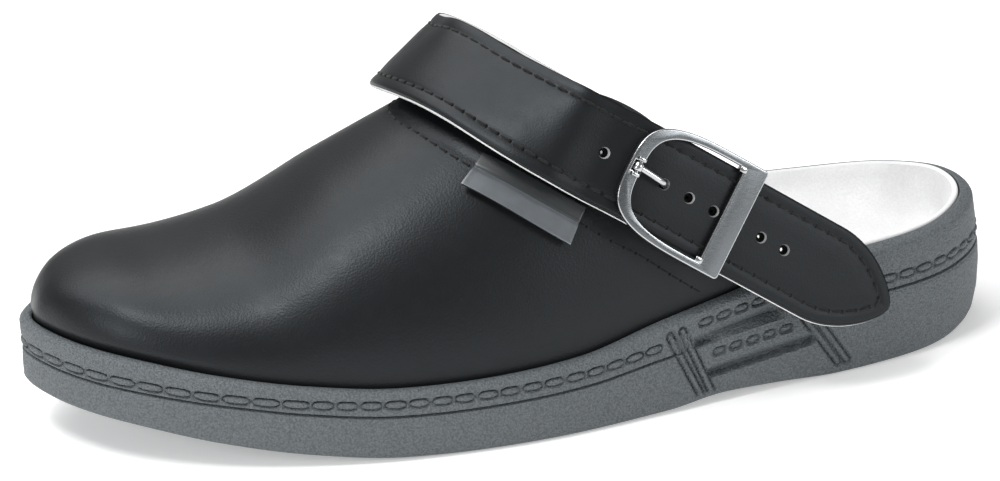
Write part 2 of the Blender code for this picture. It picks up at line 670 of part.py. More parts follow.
def make_heel_strap(group, tools):
    middle, lean, out, half = strap_sections()
    columns = 5
    shares = np.linspace(-1, 1, columns)
    outer = middle[:, None] + lean[:, None] * half[:, None, None] * shares[None, :, None]
    inner = outer - out[:, None] * STRAP_THICK
    rows = len(middle)
    points = list(outer.reshape(-1, 3)) + list(inner.reshape(-1, 3))
    offset = rows * columns
    faces = grid_faces(rows, columns) + grid_faces(rows, columns, start=offset, flip=True)
    for j, turn in ((0, 1), (columns - 1, -1)):
        for i in range(rows - 1):
            a, b = i * columns + j, (i + 1) * columns + j
            faces.append((a, b, b + offset, a + offset)[::turn])
    for i, turn in ((0, -1), (rows - 1, 1)):
        for j in range(columns - 1):
            a, b = i * columns + j, i * columns + j + 1
            faces.append((a, b, b + offset, a + offset)[::turn])
    strap = make_object("heel_strap", points, faces, group, material("heel_strap"))
    _, _, _, normal = buckle_axes()
    for k, hole in enumerate(HOLES):
        start = on_buckle(hole * MM, 0.0, -12 * MM)
        punch = turned(f"punch_{k}", [(HOLE_RADIUS, 0.0), (HOLE_RADIUS, 15 * MM)], 12, start,
                       normal, tools)
        combine(strap, punch, 'DIFFERENCE')
    combine(strap, rivet_hole("inner_rivet_hole", INNER_RIVET, tools), 'DIFFERENCE')
    return strap


# Rivets and the short strap that holds the buckle

RIVET_SHANK = 1.5 * MM
RIVET_HEAD = 3.6 * MM
RIVET_CLEAR = 0.3 * MM
BUCKLE_STRAP_THICK = 1.5 * MM
BUCKLE_STRAP_HALF = 10.0 * MM


def rivet_hole(name, where, tools):
    normal = upper_normal(*where)
    start = upper_points(*where) - normal * 8 * MM
    radius = RIVET_SHANK + RIVET_CLEAR
    return turned(name, [(radius, 0.0), (radius, 18 * MM)], 14, start, normal, tools)


def make_rivet(name, where, stack, group):
    """A tubular rivet through the upper's wall and whatever lies on it."""
    normal = upper_normal(*where)
    start = upper_points(*where)
    inside = -UPPER_WALL - 0.45 * MM
    outside = stack + 0.35 * MM
    profile = [(RIVET_HEAD * 0.7, inside - 0.9 * MM), (RIVET_HEAD, inside - 0.6 * MM),
               (RIVET_HEAD, inside), (RIVET_SHANK, inside), (RIVET_SHANK, outside),
               (RIVET_HEAD, outside), (RIVET_HEAD, outside + 0.5 * MM),
               (RIVET_HEAD * 0.6, outside + 1.0 * MM)]
    return turned(name, profile, 18, start, normal, group, material(name))


def make_buckle_strap(group, tools):
    """Runs back from the outer rivet, goes round the buckle's under bar and lies on itself."""
    origin, down, across, out = buckle_axes()
    normal = upper_normal(*OUTER_RIVET)
    seat = upper_points(*OUTER_RIVET) + normal * (0.4 * MM + BUCKLE_STRAP_THICK / 2)
    local = seat - origin
    seat_down, seat_out = float(np.dot(local, down)), float(np.dot(local, out))
    bar_down, bar_out, bar_radius = UNDER_BAR
    loop = bar_radius + 0.3 * MM + BUCKLE_STRAP_THICK / 2
    tilt = float(np.dot(normal, down)) / float(np.dot(normal, out))
    path = [(seat_down - 9 * MM, seat_out + tilt * 9 * MM), (seat_down, seat_out),
            (seat_down + 6 * MM, seat_out - tilt * 6 * MM + 0.3 * MM),
            (bar_down - 9 * MM, bar_out - 0.5 * loop), (bar_down, bar_out - loop)]
    middle = through(path, 4)
    turn = [(bar_down + loop * math.sin(a), bar_out - loop * math.cos(a))
            for a in np.linspace(0, math.pi, 9)[1:]]
    tail_out = bar_out + loop
    tail = [(bar_down - 4 * MM, tail_out), (bar_down - 8 * MM, tail_out - 0.2 * MM)]
    middle = np.vstack([middle, turn, tail])
    tangent = np.gradient(middle, axis=0)
    tangent /= np.linalg.norm(tangent, axis=1)[:, None]
    side = np.c_[-tangent[:, 1], tangent[:, 0]] * BUCKLE_STRAP_THICK / 2
    section = list(middle + side) + list((middle - side)[::-1])
    count = len(section)
    points = []
    for edge in (-BUCKLE_STRAP_HALF, BUCKLE_STRAP_HALF):
        points += [on_buckle(d, edge, o) for d, o in section]
    half = count // 2
    faces = [(i, (i + 1) % count, count + (i + 1) % count, count + i) for i in range(count)]
    for i in range(half - 1):
        a, b, c, d = i, i + 1, count - 2 - i, count - 1 - i
        faces += [(a, b, c, d)[::-1], (a + count, b + count, c + count, d + count)]
    strap = make_object("buckle_strap", points, faces, group, material("buckle_strap"))
    combine(strap, rivet_hole("outer_rivet_hole", OUTER_RIVET, tools), 'DIFFERENCE')
    return strap


# The buckle

def arc(front, half_width, back, steps):
    """A squarish arc from one rail, round the front and back to the other rail."""
    points = []
    for k in range(steps + 1):
        angle = -math.pi / 2 + math.pi * k / steps
        sin, cos = math.sin(angle), math.cos(angle)
        power = 2 / ARC_SQUARENESS
        points.append((back + (front - back) * abs(cos) ** power,
                       half_width * math.copysign(abs(sin) ** power, sin)))
    return points


def make_buckle_frame(group, tools):
    low, high = FRAME_GAP, FRAME_GAP + FRAME_THICK
    outer = arc(FRAME_FRONT, FRAME_HALF_WIDTH, BAR_FRONT, 28)
    outer = [(BAR_BACK, -FRAME_HALF_WIDTH)] + outer + [(BAR_BACK, FRAME_HALF_WIDTH)]
    inner = arc(FRAME_FRONT + ARC_BAND, FRAME_HALF_WIDTH - RAIL_BAND, BAR_FRONT, 28)
    frame = prism("buckle_frame", outer, low, high, group, material("buckle_frame"))
    window = prism("buckle_window", inner, low - 2 * MM, high + 2 * MM, tools)
    combine(frame, window, 'DIFFERENCE')
    arc_back = FRAME_FRONT + ARC_BAND
    pin_down, pin_out = PIN_PLACE
    deep = pin_down - KNUCKLE_RADIUS - FRAME_GAP
    outline = [(deep, PRONG_SIDE - 1.5 * MM), (arc_back + 2 * MM, PRONG_SIDE - 1.5 * MM),
               (arc_back + 2 * MM, PRONG_SIDE + 1.5 * MM), (deep, PRONG_SIDE + 1.5 * MM)]
    combine(frame, prism("buckle_neck", outline, low - 2 * MM, high + 2 * MM, tools), 'DIFFERENCE')
    bevel = frame.modifiers.new("edge", 'BEVEL')
    bevel.width = 0.45 * MM
    bevel.segments = 1
    bevel.limit_method = 'ANGLE'
    bevel.angle_limit = math.radians(50)
    for i, centre in enumerate((PRONG_SIDE - 2.3 * MM, PRONG_SIDE + 2.3 * MM)):
        outline = [(pin_down - 1.3 * MM, centre - 0.6 * MM), (pin_down + 1.1 * MM, centre - 0.6 * MM),
                   (pin_down + 1.1 * MM, centre + 0.6 * MM), (pin_down - 1.3 * MM, centre + 0.6 * MM)]
        combine(frame, prism(f"lug_{i}", outline, 0.7 * MM, 3.4 * MM, tools), 'UNION')
    pin = turned("pin", [(PIN_RADIUS, -2.5 * MM), (PIN_RADIUS, 2.5 * MM)], 12,
                 (pin_down, PRONG_SIDE, pin_out), (0, 1, 0), tools)
    combine(frame, pin, 'UNION')
    bar_down, bar_out, bar_radius = UNDER_BAR
    for i, side in enumerate((-1, 1)):
        near, far = side * SLOT_HALF_WIDTH, side * (FRAME_HALF_WIDTH - 0.3 * MM)
        outline = [(bar_down - 2 * MM, near), (bar_down + 2 * MM, near),
                   (bar_down + 2 * MM, far), (bar_down - 2 * MM, far)]
        combine(frame, prism(f"post_{i}", outline, bar_out - 1.3 * MM, low + 0.8 * MM, tools), 'UNION')
    bar = turned("under_bar", [(bar_radius, -SLOT_HALF_WIDTH - 0.9 * MM),
                               (bar_radius, SLOT_HALF_WIDTH + 0.9 * MM)], 14,
                 (bar_down, 0.0, bar_out), (0, 1, 0), tools)
    combine(frame, bar, 'UNION')
    frame.matrix_world = buckle_matrix()
    for tool in tools.objects:
        if tool.name.split("_")[0] in ("buckle", "lug", "pin", "post", "under"):
            tool.matrix_world = buckle_matrix()
    return frame


def make_buckle_prong(group, tools):
    hole_down = PRONG_DOWN
    pin_down, pin_out = PIN_PLACE
    path = through([(pin_down + 1.1 * MM, PRONG_SIDE, pin_out + 0.1 * MM),
                    (pin_down + 5.0 * MM, PRONG_SIDE * 0.6, pin_out + 0.1 * MM),
                    (hole_down - 1.4 * MM, PRONG_SIDE * 0.1, pin_out - 0.3 * MM),
                    (hole_down - 0.1 * MM, 0.0, pin_out - 1.7 * MM),
                    (hole_down + 0.1 * MM, 0.0, -STRAP_THICK + 0.5 * MM)], 4)
    prong = tube("buckle_prong", path, PRONG_RADIUS, 10, group, material("buckle_prong"))
    knuckle = turned("knuckle", [(KNUCKLE_RADIUS, -1.2 * MM), (KNUCKLE_RADIUS, 1.2 * MM)], 16,
                     (pin_down, PRONG_SIDE, pin_out), (0, 1, 0), tools)
    eye = turned("knuckle_eye", [(PIN_RADIUS + 0.3 * MM, -3 * MM), (PIN_RADIUS + 0.3 * MM, 3 * MM)],
                 12, (pin_down, PRONG_SIDE, pin_out), (0, 1, 0), tools)
    combine(prong, knuckle, 'UNION')
    combine(prong, eye, 'DIFFERENCE')
    for thing in (prong, knuckle, eye):
        thing.matrix_world = buckle_matrix()
    return prong


# The tag

def make_tag(group):
    columns = 9
    faces_out, faces_in = [], []
    for front_s, front_u, back_s, back_u, off in TAG_LINES:
        for k in range(columns):
            share = k / (columns - 1)
            s = front_s + (back_s - front_s) * share
            u = front_u + (back_u - front_u) * share
            bow = 0.012 * 4 * share * (1 - share)
            point = upper_points(s, u - bow)
            normal = upper_normal(s, u - bow)
            faces_in.append(point + normal * off * MM)
            faces_out.append(point + normal * (off * MM + TAG_THICK))
    rows = len(TAG_LINES)
    count = rows * columns
    faces = grid_faces(rows, columns) + grid_faces(rows, columns, start=count, flip=True)
    rim = list(range(columns)) + [(i + 1) * columns - 1 for i in range(1, rows)]
    rim += list(range(count - 2, count - columns - 1, -1)) + [i * columns for i in range(rows - 2, 0, -1)]
    for k, a in enumerate(rim):
        b = rim[(k + 1) % len(rim)]
        faces.append((a, b, b + count, a + count))
    return make_object("tag", faces_out + faces_in, faces, group, material("tag"))


def main():
    clear_scene()
    group = collection("chef_clog")
    tools = collection("tools", hidden=True)
    make_sole(group, tools)
    upper = make_upper(group)
    combine(upper, rivet_hole("upper_hole_inner", INNER_RIVET, tools), 'DIFFERENCE')
    combine(upper, rivet_hole("upper_hole_outer", OUTER_RIVET, tools), 'DIFFERENCE')
    make_footbed(group)
    make_heel_strap(group, tools)
    make_buckle_strap(group, tools)
    make_buckle_frame(group, tools)
    make_buckle_prong(group, tools)
    make_rivet("inner_rivet", INNER_RIVET, 0.5 * MM + STRAP_THICK, group)
    make_rivet("outer_rivet", OUTER_RIVET, 0.4 * MM + BUCKLE_STRAP_THICK, group)
    make_tag(group)


main()
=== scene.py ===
# %% [markdown]
# # A chef's clog, dressed over its solids
#
# This file is a lesson in building one shoe in Blender, piece by piece. The plain solids
# of the clog are loaded first, and the same sizes are used here. Each visible piece is
# made again with the detail of the real one, and takes the place of its solid.
# The toe points to -X, the outer side of the foot is -Y, and the floor is Z = 0.

# %% Load the frame
import math

import bmesh
import bpy
import numpy as np
from mathutils import Matrix, Vector


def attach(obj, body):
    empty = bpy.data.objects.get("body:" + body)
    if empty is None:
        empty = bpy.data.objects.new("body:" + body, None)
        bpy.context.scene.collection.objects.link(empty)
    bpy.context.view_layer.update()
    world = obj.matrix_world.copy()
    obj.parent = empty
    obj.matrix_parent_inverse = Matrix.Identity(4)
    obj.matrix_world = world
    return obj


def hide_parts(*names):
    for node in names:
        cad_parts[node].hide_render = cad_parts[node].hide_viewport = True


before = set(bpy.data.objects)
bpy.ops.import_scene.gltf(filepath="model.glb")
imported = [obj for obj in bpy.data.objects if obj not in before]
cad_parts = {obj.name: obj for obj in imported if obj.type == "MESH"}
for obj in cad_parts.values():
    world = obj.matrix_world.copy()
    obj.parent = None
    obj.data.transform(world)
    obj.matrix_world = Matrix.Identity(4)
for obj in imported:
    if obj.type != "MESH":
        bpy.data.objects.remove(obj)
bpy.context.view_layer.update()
MM = 0.001
print("solids:", ", ".join(sorted(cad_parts)))

# %% [markdown]
# ## Colours and nodes
#
# Colours are easiest to read as the hex values of a colour picker, but shaders work with
# linear light, so one function turns one into the other. A second function adds a node to
# a tree, sets it up and links it, which keeps every material and every stitch tree short.

# %% Two helpers for node trees
def linear(hex_colour):
    """A colour picker's hex value as linear red, green, blue and alpha."""
    parts = [int(hex_colour[i:i + 2], 16) / 255 for i in (1, 3, 5)]
    return tuple(c / 12.92 if c <= 0.04045 else ((c + 0.055) / 1.055) ** 2.4 for c in parts) + (1.0,)


def add(tree, kind, settings=None, inputs=None):
    """Add a node, set its own choices, then fill or link its inputs by name or number."""
    node = tree.nodes.new(kind)
    for name, value in (settings or {}).items():
        setattr(node, name, value)
    for name, value in (inputs or {}).items():
        if isinstance(value, bpy.types.NodeSocket):
            tree.links.new(value, node.inputs[name])
        else:
            node.inputs[name].default_value = value
    return node


def new_material(name, **shader_inputs):
    """A material with its shader, and a vector in millimetres to drive its patterns."""
    made = bpy.data.materials.new(name)
    made.use_nodes = True
    tree = made.node_tree
    tree.nodes.clear()
    shader = add(tree, "ShaderNodeBsdfPrincipled")
    for key, value in shader_inputs.items():
        shader.inputs[key.replace("_", " ").title().replace("Ior", "IOR")].default_value = value
    add(tree, "ShaderNodeOutputMaterial", inputs={"Surface": shader.outputs["BSDF"]})
    here = add(tree, "ShaderNodeTexCoord").outputs["Object"]
    scaled = add(tree, "ShaderNodeVectorMath", {"operation": "SCALE"}, {0: here, "Scale": 1000.0})
    return made, tree, shader, scaled.outputs["Vector"]


print("grey of the sole in linear light:", [round(c, 3) for c in linear("#6b7072")])

# %% [markdown]
# ## Upper leather
#
# The upper is corrected-grain cowhide: the hide is sanded, embossed with a fine even grain
# and sprayed with black pigment and a satin top coat. The eye sees a nearly black surface
# with wide soft highlights, broken up by pores of about half a millimetre. The grain is a
# Voronoi pattern in the bump, and a slow noise makes the gloss slightly uneven. The top
# coat reflects a touch cooler than white, which is the specular tint.

# %% Satin black leather
def black_leather(name, dark, light, gloss, grain_mm, grain_depth):
    made, tree, shader, mm = new_material(name, ior=1.5, specular_ior_level=0.3)
    shader.inputs["Specular Tint"].default_value = (0.88, 0.95, 1.0, 1.0)
    clouds = add(tree, "ShaderNodeTexNoise", inputs={"Vector": mm, "Scale": 1 / 24, "Detail": 3.0})
    colour = add(tree, "ShaderNodeMix", {"data_type": "RGBA"},
                 {0: clouds.outputs["Fac"], 6: linear(dark), 7: linear(light)})
    tree.links.new(colour.outputs[2], shader.inputs["Base Color"])
    patches = add(tree, "ShaderNodeTexNoise", inputs={"Vector": mm, "Scale": 1 / 3.5, "Detail": 4.0})
    rough = add(tree, "ShaderNodeMapRange", inputs={
        "Value": patches.outputs["Fac"], "To Min": gloss - 0.05, "To Max": gloss + 0.06})
    tree.links.new(rough.outputs["Result"], shader.inputs["Roughness"])
    pores = add(tree, "ShaderNodeTexVoronoi", {"feature": "SMOOTH_F1"},
                {"Vector": mm, "Scale": 1 / grain_mm, "Smoothness": 0.6})
    folds = add(tree, "ShaderNodeTexNoise", inputs={"Vector": mm, "Scale": 0.9, "Detail": 3.0})
    height = add(tree, "ShaderNodeMath", {"operation": "MULTIPLY_ADD"},
                 {0: folds.outputs["Fac"], 1: 0.6, 2: pores.outputs["Distance"]})
    bump = add(tree, "ShaderNodeBump", inputs={"Strength": grain_depth, "Distance": 0.05 * MM,
                                               "Height": height.outputs["Value"]})
    tree.links.new(bump.outputs["Normal"], shader.inputs["Normal"])
    return made


upper_leather = black_leather("satin_black_leather", "#0d0e10", "#141618", 0.4, 0.6, 0.8)
strap_leather = black_leather("smooth_black_strap_leather", "#0c0d0f", "#121416", 0.43, 0.5, 0.65)
print("leathers:", upper_leather.name, strap_leather.name)

# %% [markdown]
# ## Sole polyurethane
#
# The sole is foamed polyurethane, poured into a mould whose walls carry an embossed grain.
# It is mid grey, dull, and never mirror-like. The grain's bumps are about two thirds of a
# millimetre across and strong enough to sparkle along the rim, so the bump adds a fine
# noise to a Voronoi pattern whose cells a slower noise has made uneven. The hollows are
# painted a little darker, which is painted shade.

# %% Moulded grey polyurethane
def moulded_polyurethane():
    made, tree, shader, mm = new_material("moulded_grey_polyurethane", ior=1.5, specular_ior_level=0.4)
    wobble = add(tree, "ShaderNodeTexNoise", inputs={"Vector": mm, "Scale": 0.8, "Detail": 2.0})
    moved = add(tree, "ShaderNodeVectorMath", {"operation": "MULTIPLY_ADD"},
                {0: wobble.outputs["Color"], 1: (0.7, 0.7, 0.7), 2: mm})
    coarse = add(tree, "ShaderNodeTexVoronoi", {"feature": "F1"},
                 {"Vector": moved.outputs["Vector"], "Scale": 1 / 0.65})
    fine = add(tree, "ShaderNodeTexNoise", inputs={"Vector": mm, "Scale": 1.9, "Detail": 3.0})
    height = add(tree, "ShaderNodeMath", {"operation": "MULTIPLY_ADD"},
                 {0: fine.outputs["Fac"], 1: 0.8, 2: coarse.outputs["Distance"]})
    # The grain's hollows get the darker grey: painted shade.
    shade = add(tree, "ShaderNodeMapRange", inputs={
        "Value": height.outputs["Value"], "From Min": 0.4, "From Max": 1.2})
    colour = add(tree, "ShaderNodeMix", {"data_type": "RGBA"},
                 {0: shade.outputs["Result"], 6: linear("#6a7073"), 7: linear("#4e5356")})
    tree.links.new(colour.outputs[2], shader.inputs["Base Color"])
    rough = add(tree, "ShaderNodeMapRange", inputs={
        "Value": fine.outputs["Fac"], "To Min": 0.5, "To Max": 0.68})
    tree.links.new(rough.outputs["Result"], shader.inputs["Roughness"])
    bump = add(tree, "ShaderNodeBump", {"invert": True}, {
        "Strength": 1.0, "Distance": 0.34 * MM, "Height": height.outputs["Value"]})
    tree.links.new(bump.outputs["Normal"], shader.inputs["Normal"])
    return made


sole_polyurethane = moulded_polyurethane()
print("sole:", sole_polyurethane.name)

# %% [markdown]
# ## Footbed, lining and cut edge
#
# The footbed is covered in undyed lining leather, napped by sanding: nearly white, quite
# matt, with fibres that catch the light at a grazing angle, which is what sheen is for.
# The strap's cut edge shows the hide's pale core, which is fibrous in the same way, and so
# are the walls of its punched holes, which are painted grey as painted shade. The upper's
# lining is a grey textile, and the thread is black polyester. The needle's holes are too
# small to see into, so they are drawn as small dark beads in a finish of painted shade.

# %% Napped pale leather, raw edge and thread
def fibrous(name, light, dark, fibre_mm, depth, sheen):
    made, tree, shader, mm = new_material(name, roughness=0.88, sheen_weight=sheen,
                                          sheen_roughness=0.5, specular_ior_level=0.3)
    nap = add(tree, "ShaderNodeTexNoise", inputs={"Vector": mm, "Scale": 1 / fibre_mm, "Detail": 5.0,
                                                  "Roughness": 0.65})
    stain = add(tree, "ShaderNodeTexNoise", inputs={"Vector": mm, "Scale": 1 / 17, "Detail": 4.0})
    both = add(tree, "ShaderNodeMath", {"operation": "MULTIPLY"},
               {0: nap.outputs["Fac"], 1: stain.outputs["Fac"]})
    fade = add(tree, "ShaderNodeMapRange", inputs={
        "Value": both.outputs["Value"], "From Min": 0.12, "From Max": 0.42})
    colour = add(tree, "ShaderNodeMix", {"data_type": "RGBA"},
                 {0: fade.outputs["Result"], 6: linear(dark), 7: linear(light)})
    tree.links.new(colour.outputs[2], shader.inputs["Base Color"])
    bump = add(tree, "ShaderNodeBump", inputs={"Strength": depth, "Distance": 0.12 * MM,
                                               "Height": nap.outputs["Fac"]})
    tree.links.new(bump.outputs["Normal"], shader.inputs["Normal"])
    return made


footbed_leather = fibrous("napped_white_lining_leather", "#ececec", "#d9d9da", 0.7, 0.6, 0.2)
lining = fibrous("grey_textile_lining", "#8b8d8f", "#7c7e80", 0.5, 0.6, 0.2)
raw_edge = fibrous("raw_cut_leather_edge", "#efefef", "#d2d4d5", 0.35, 0.6, 0.0)
black_thread = fibrous("black_bonded_polyester_thread", "#17191a", "#0c0d0e", 0.25, 0.7, 0.15)
# The hole walls are the pale core painted grey: painted shade.
painted_shade_hole_wall = fibrous("punched_hole_wall_painted_shade", "#a3a4a5", "#7b7d7e", 0.4, 0.5, 0.0)
# Near black beads and bands where the inside of a hole would lie in shade: painted shade.
painted_hole_shade = fibrous("painted_shade_of_a_hole", "#070808", "#050505", 0.5, 0.3, 0.0)
print("fibrous finishes:", footbed_leather.name, lining.name, raw_edge.name)

# %% [markdown]
# ## Nickel and the label
#
# The buckle is die-cast zinc plated with nickel. Its flats were tumbled, so they are satin
# with short scratches in all directions, and its bevels were polished and are nearly
# mirrors. The flats' nickel is also painted much darker than the polished nickel, which is
# painted shade: the dark surroundings that the flats reflect. Two noises that are stretched
# along different directions make the scratches.
# The label is a folded strip of dark grey vinyl with a satin lacquer, and its lower half is
# painted paler, which is painted light.

# %% Plated metal and lacquered vinyl
def nickel(name, colour_hex, gloss, scratch):
    made, tree, shader, mm = new_material(name, metallic=1.0, base_color=linear(colour_hex))
    turned_mm = add(tree, "ShaderNodeMapping", inputs={
        "Vector": mm, "Rotation": (0.4, 0.9, 0.5), "Scale": (0.35, 3.0, 3.0)})
    one = add(tree, "ShaderNodeTexNoise", inputs={"Vector": turned_mm.outputs["Vector"], "Scale": 1.5,
                                                  "Detail": 4.0})
    other_mm = add(tree, "ShaderNodeMapping", inputs={
        "Vector": mm, "Rotation": (0.9, -0.7, 1.6), "Scale": (0.3, 3.4, 3.4)})
    two = add(tree, "ShaderNodeTexNoise", inputs={"Vector": other_mm.outputs["Vector"], "Scale": 1.2,
                                                  "Detail": 4.0})
    most = add(tree, "ShaderNodeMath", {"operation": "MAXIMUM"},
               {0: one.outputs["Fac"], 1: two.outputs["Fac"]})
    marks = add(tree, "ShaderNodeMapRange", inputs={
        "Value": most.outputs["Value"], "From Min": 0.52, "From Max": 0.72,
        "To Min": gloss, "To Max": gloss + 0.1})
    tree.links.new(marks.outputs["Result"], shader.inputs["Roughness"])
    bump = add(tree, "ShaderNodeBump", inputs={"Strength": scratch, "Distance": 0.03 * MM,
                                               "Height": most.outputs["Value"]})
    tree.links.new(bump.outputs["Normal"], shader.inputs["Normal"])
    return made


def lacquered_vinyl(name, dark, light):
    made, tree, shader, mm = new_material(name, ior=1.5, coat_weight=0.35,
                                          coat_roughness=0.3, metallic=0.35)
    cloud = add(tree, "ShaderNodeTexNoise", inputs={"Vector": mm, "Scale": 0.25, "Detail": 3.0})
    colour = add(tree, "ShaderNodeMix", {"data_type": "RGBA"},
                 {0: cloud.outputs["Fac"], 6: linear(dark), 7: linear(light)})
    tree.links.new(colour.outputs[2], shader.inputs["Base Color"])
    grit = add(tree, "ShaderNodeTexNoise", inputs={"Vector": mm, "Scale": 4.0, "Detail": 2.0})
    rough = add(tree, "ShaderNodeMapRange", inputs={
        "Value": grit.outputs["Fac"], "To Min": 0.3, "To Max": 0.42})
    tree.links.new(rough.outputs["Result"], shader.inputs["Roughness"])
    bump = add(tree, "ShaderNodeBump", inputs={"Strength": 0.25, "Distance": 0.03 * MM,
                                               "Height": grit.outputs["Fac"]})
    tree.links.new(bump.outputs["Normal"], shader.inputs["Normal"])
    return made


# The satin flats are painted much darker than the polished nickel: painted shade.
shade_painted_satin_nickel = nickel("satin_nickel_plate_with_painted_shade", "#74787b", 0.24, 0.04)
bright_nickel = nickel("polished_nickel_plate", "#b9bbbc", 0.12, 0.03)
label_vinyl = lacquered_vinyl("satin_lacquered_vinyl", "#2c2f31", "#35393b")
# The label's lower half is painted paler: painted light.
label_vinyl_painted_light = lacquered_vinyl("label_half_with_painted_light", "#5f6467", "#70757a")
print("metals:", shade_painted_satin_nickel.name, bright_nickel.name)

# %% [markdown]
# ## Reading smooth curves from short tables
#
# A shoemaker draws a last with a few stations along its length. The tables below do the
# same: a station, then what is true there. One function reads a column as a curve that
# never overshoots a station, and another runs a rounded curve through a few points.

# %% Curve readers
def smooth(table, column, where):
    """Read one column of a table as a smooth curve that never overshoots a row."""
    xs = np.array([row[0] for row in table])
    ys = np.array([row[column] for row in table])
    steps = np.diff(xs)
    slopes = np.diff(ys) / steps
    tangents = np.zeros(len(xs))
    tangents[0], tangents[-1] = slopes[0], slopes[-1]
    for i in range(1, len(xs) - 1):
        if slopes[i - 1] * slopes[i] > 0:
            before = 2 * steps[i] + steps[i - 1]
            after = steps[i] + 2 * steps[i - 1]
            tangents[i] = (before + after) / (before / slopes[i - 1] + after / slopes[i])
    where = np.asarray(where, float)
    i = np.clip(np.searchsorted(xs, where) - 1, 0, len(xs) - 2)
    t = np.clip((where - xs[i]) / steps[i], 0, 1)
    return ((2 * t**3 - 3 * t**2 + 1) * ys[i] + (t**3 - 2 * t**2 + t) * steps[i] * tangents[i]
            + (3 * t**2 - 2 * t**3) * ys[i + 1] + (t**3 - t**2) * steps[i] * tangents[i + 1])


def through(points, steps, closed=False):
    """A rounded curve through a few points, with the same number of steps in each span."""
    points = np.asarray(points, float)
    count = len(points)
    if not closed:
        points = np.vstack([2 * points[0] - points[1], points, 2 * points[-1] - points[-2]])
    out = []
    for i in range(count if closed else count - 1):
        p0, p1, p2, p3 = (points[(i + k - (1 if closed else 0)) % len(points)] for k in range(4))
        d0, d1, d2 = (math.sqrt(np.linalg.norm(b - a)) for a, b in ((p0, p1), (p1, p2), (p2, p3)))
        m1 = d1 * ((p1 - p0) / d0 - (p2 - p0) / (d0 + d1) + (p2 - p1) / d1)
        m2 = d1 * ((p2 - p1) / d1 - (p3 - p1) / (d1 + d2) + (p3 - p2) / d2)
        for k in range(steps):
            t = k / steps
            out.append((2 * t**3 - 3 * t * t + 1) * p1 + (t**3 - 2 * t * t + t) * m1
                       + (3 * t * t - 2 * t**3) * p2 + (t**3 - t * t) * m2)
    if not closed:
        out.append(points[-2])
    return np.array(out)


def unit(vector):
    vector = np.asarray(vector, float)
    return vector / np.linalg.norm(vector)


def ease(x, low, high):
    """0 below low, 1 above high, with a soft step between."""
    t = np.clip((np.asarray(x, float) - low) / (high - low), 0, 1)
    return t * t * (3 - 2 * t)


def lengths_along(path):
    return np.r_[0, np.cumsum(np.linalg.norm(np.diff(path, axis=0), axis=1))]


def respaced(path, count):
    """The same open path with its points evenly spaced."""
    path = np.asarray(path)
    length = lengths_along(path)
    stops = np.linspace(0, length[-1], count)
    return np.stack([np.interp(stops, length, path[:, k]) for k in range(path.shape[1])], 1)


def distance_to(path, points):
    """How far each point is from a polyline, in the polyline's own units."""
    best = np.full(len(points), 1e9)
    for a, b in zip(path[:-1], path[1:]):
        ab = b - a
        t = np.clip(((points - a) @ ab) / max(ab @ ab, 1e-18), 0, 1)
        best = np.minimum(best, np.linalg.norm(points - a - t[:, None] * ab, axis=1))
    return best


print("halfway up a soft step:", float(ease(0.5, 0, 1)))

# %% [markdown]
# ## Meshes from grids
#
# Nearly every piece here is a grid of points, folded into shape by numpy, because a shoe
# is made of swept and lofted skins. The helpers below turn points and faces into an object
# whose faces look outwards, give it smooth shading with crisp corners, and hand it over
# to the frame: it rides on the clog's body and takes the place of its solid.

# %% Mesh helpers
def make_mesh(name, points, faces, materials, indices=None, corner=40):
    mesh = bpy.data.meshes.new(name)
    mesh.from_pydata([tuple(p) for p in points], [], [tuple(int(v) for v in f) for f in faces])
    for finish in materials:
        mesh.materials.append(finish)
    if indices is not None:
        mesh.polygons.foreach_set("material_index", np.asarray(indices, np.int32))
    work = bmesh.new()
    work.from_mesh(mesh)
    bmesh.ops.remove_doubles(work, verts=work.verts, dist=1e-6)
    bmesh.ops.recalc_face_normals(work, faces=work.faces)
    work.to_mesh(mesh)
    work.free()
    mesh.shade_smooth()
    mesh.set_sharp_from_angle(angle=math.radians(corner))
    thing = bpy.data.objects.new(name, mesh)
    bpy.context.scene.collection.objects.link(thing)
    return thing


def settled(thing, corner=None):
    """Apply a piece's modifiers, so that its final mesh is plain."""
    graph = bpy.context.evaluated_depsgraph_get()
    mesh = bpy.data.meshes.new_from_object(thing.evaluated_get(graph))
    thing.modifiers.clear()
    thing.data = mesh
    if corner:
        mesh.shade_smooth()
        mesh.set_sharp_from_angle(angle=math.radians(corner))
    return thing


def stands_for(thing, node):
    """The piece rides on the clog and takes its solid's place."""
    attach(thing, "root")
    if node:
        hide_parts(node)
    thing.data.calc_loop_triangles()
    print(f"{thing.name}: {len(thing.data.loop_triangles)} triangles")
    return thing


def grid_faces(rows, columns, start=0, closed=False):
    faces = []
    for i in range(rows - 1):
        for j in range(columns if closed else columns - 1):
            a = start + i * columns + j
            b = start + i * columns + (j + 1) % columns
            faces.append((a, b, b + columns, a + columns))
    return faces


print("a 3 by 4 grid has", len(grid_faces(3, 4)), "faces")

# %% [markdown]
# ## The sole's lines
#
# The sole is drawn by a few lines round its side wall: the ground line with its toe
# spring, a step, a line of moulded stitches, and the rim. All of them climb from the ball
# to the heel. In the waist the stitch line swings up to the rim and a second one runs
# below it, each with a long slot beneath, framed by two pairs of slanting ribs. The
# stitches get shorter towards the waist, so their line is divided in zones.

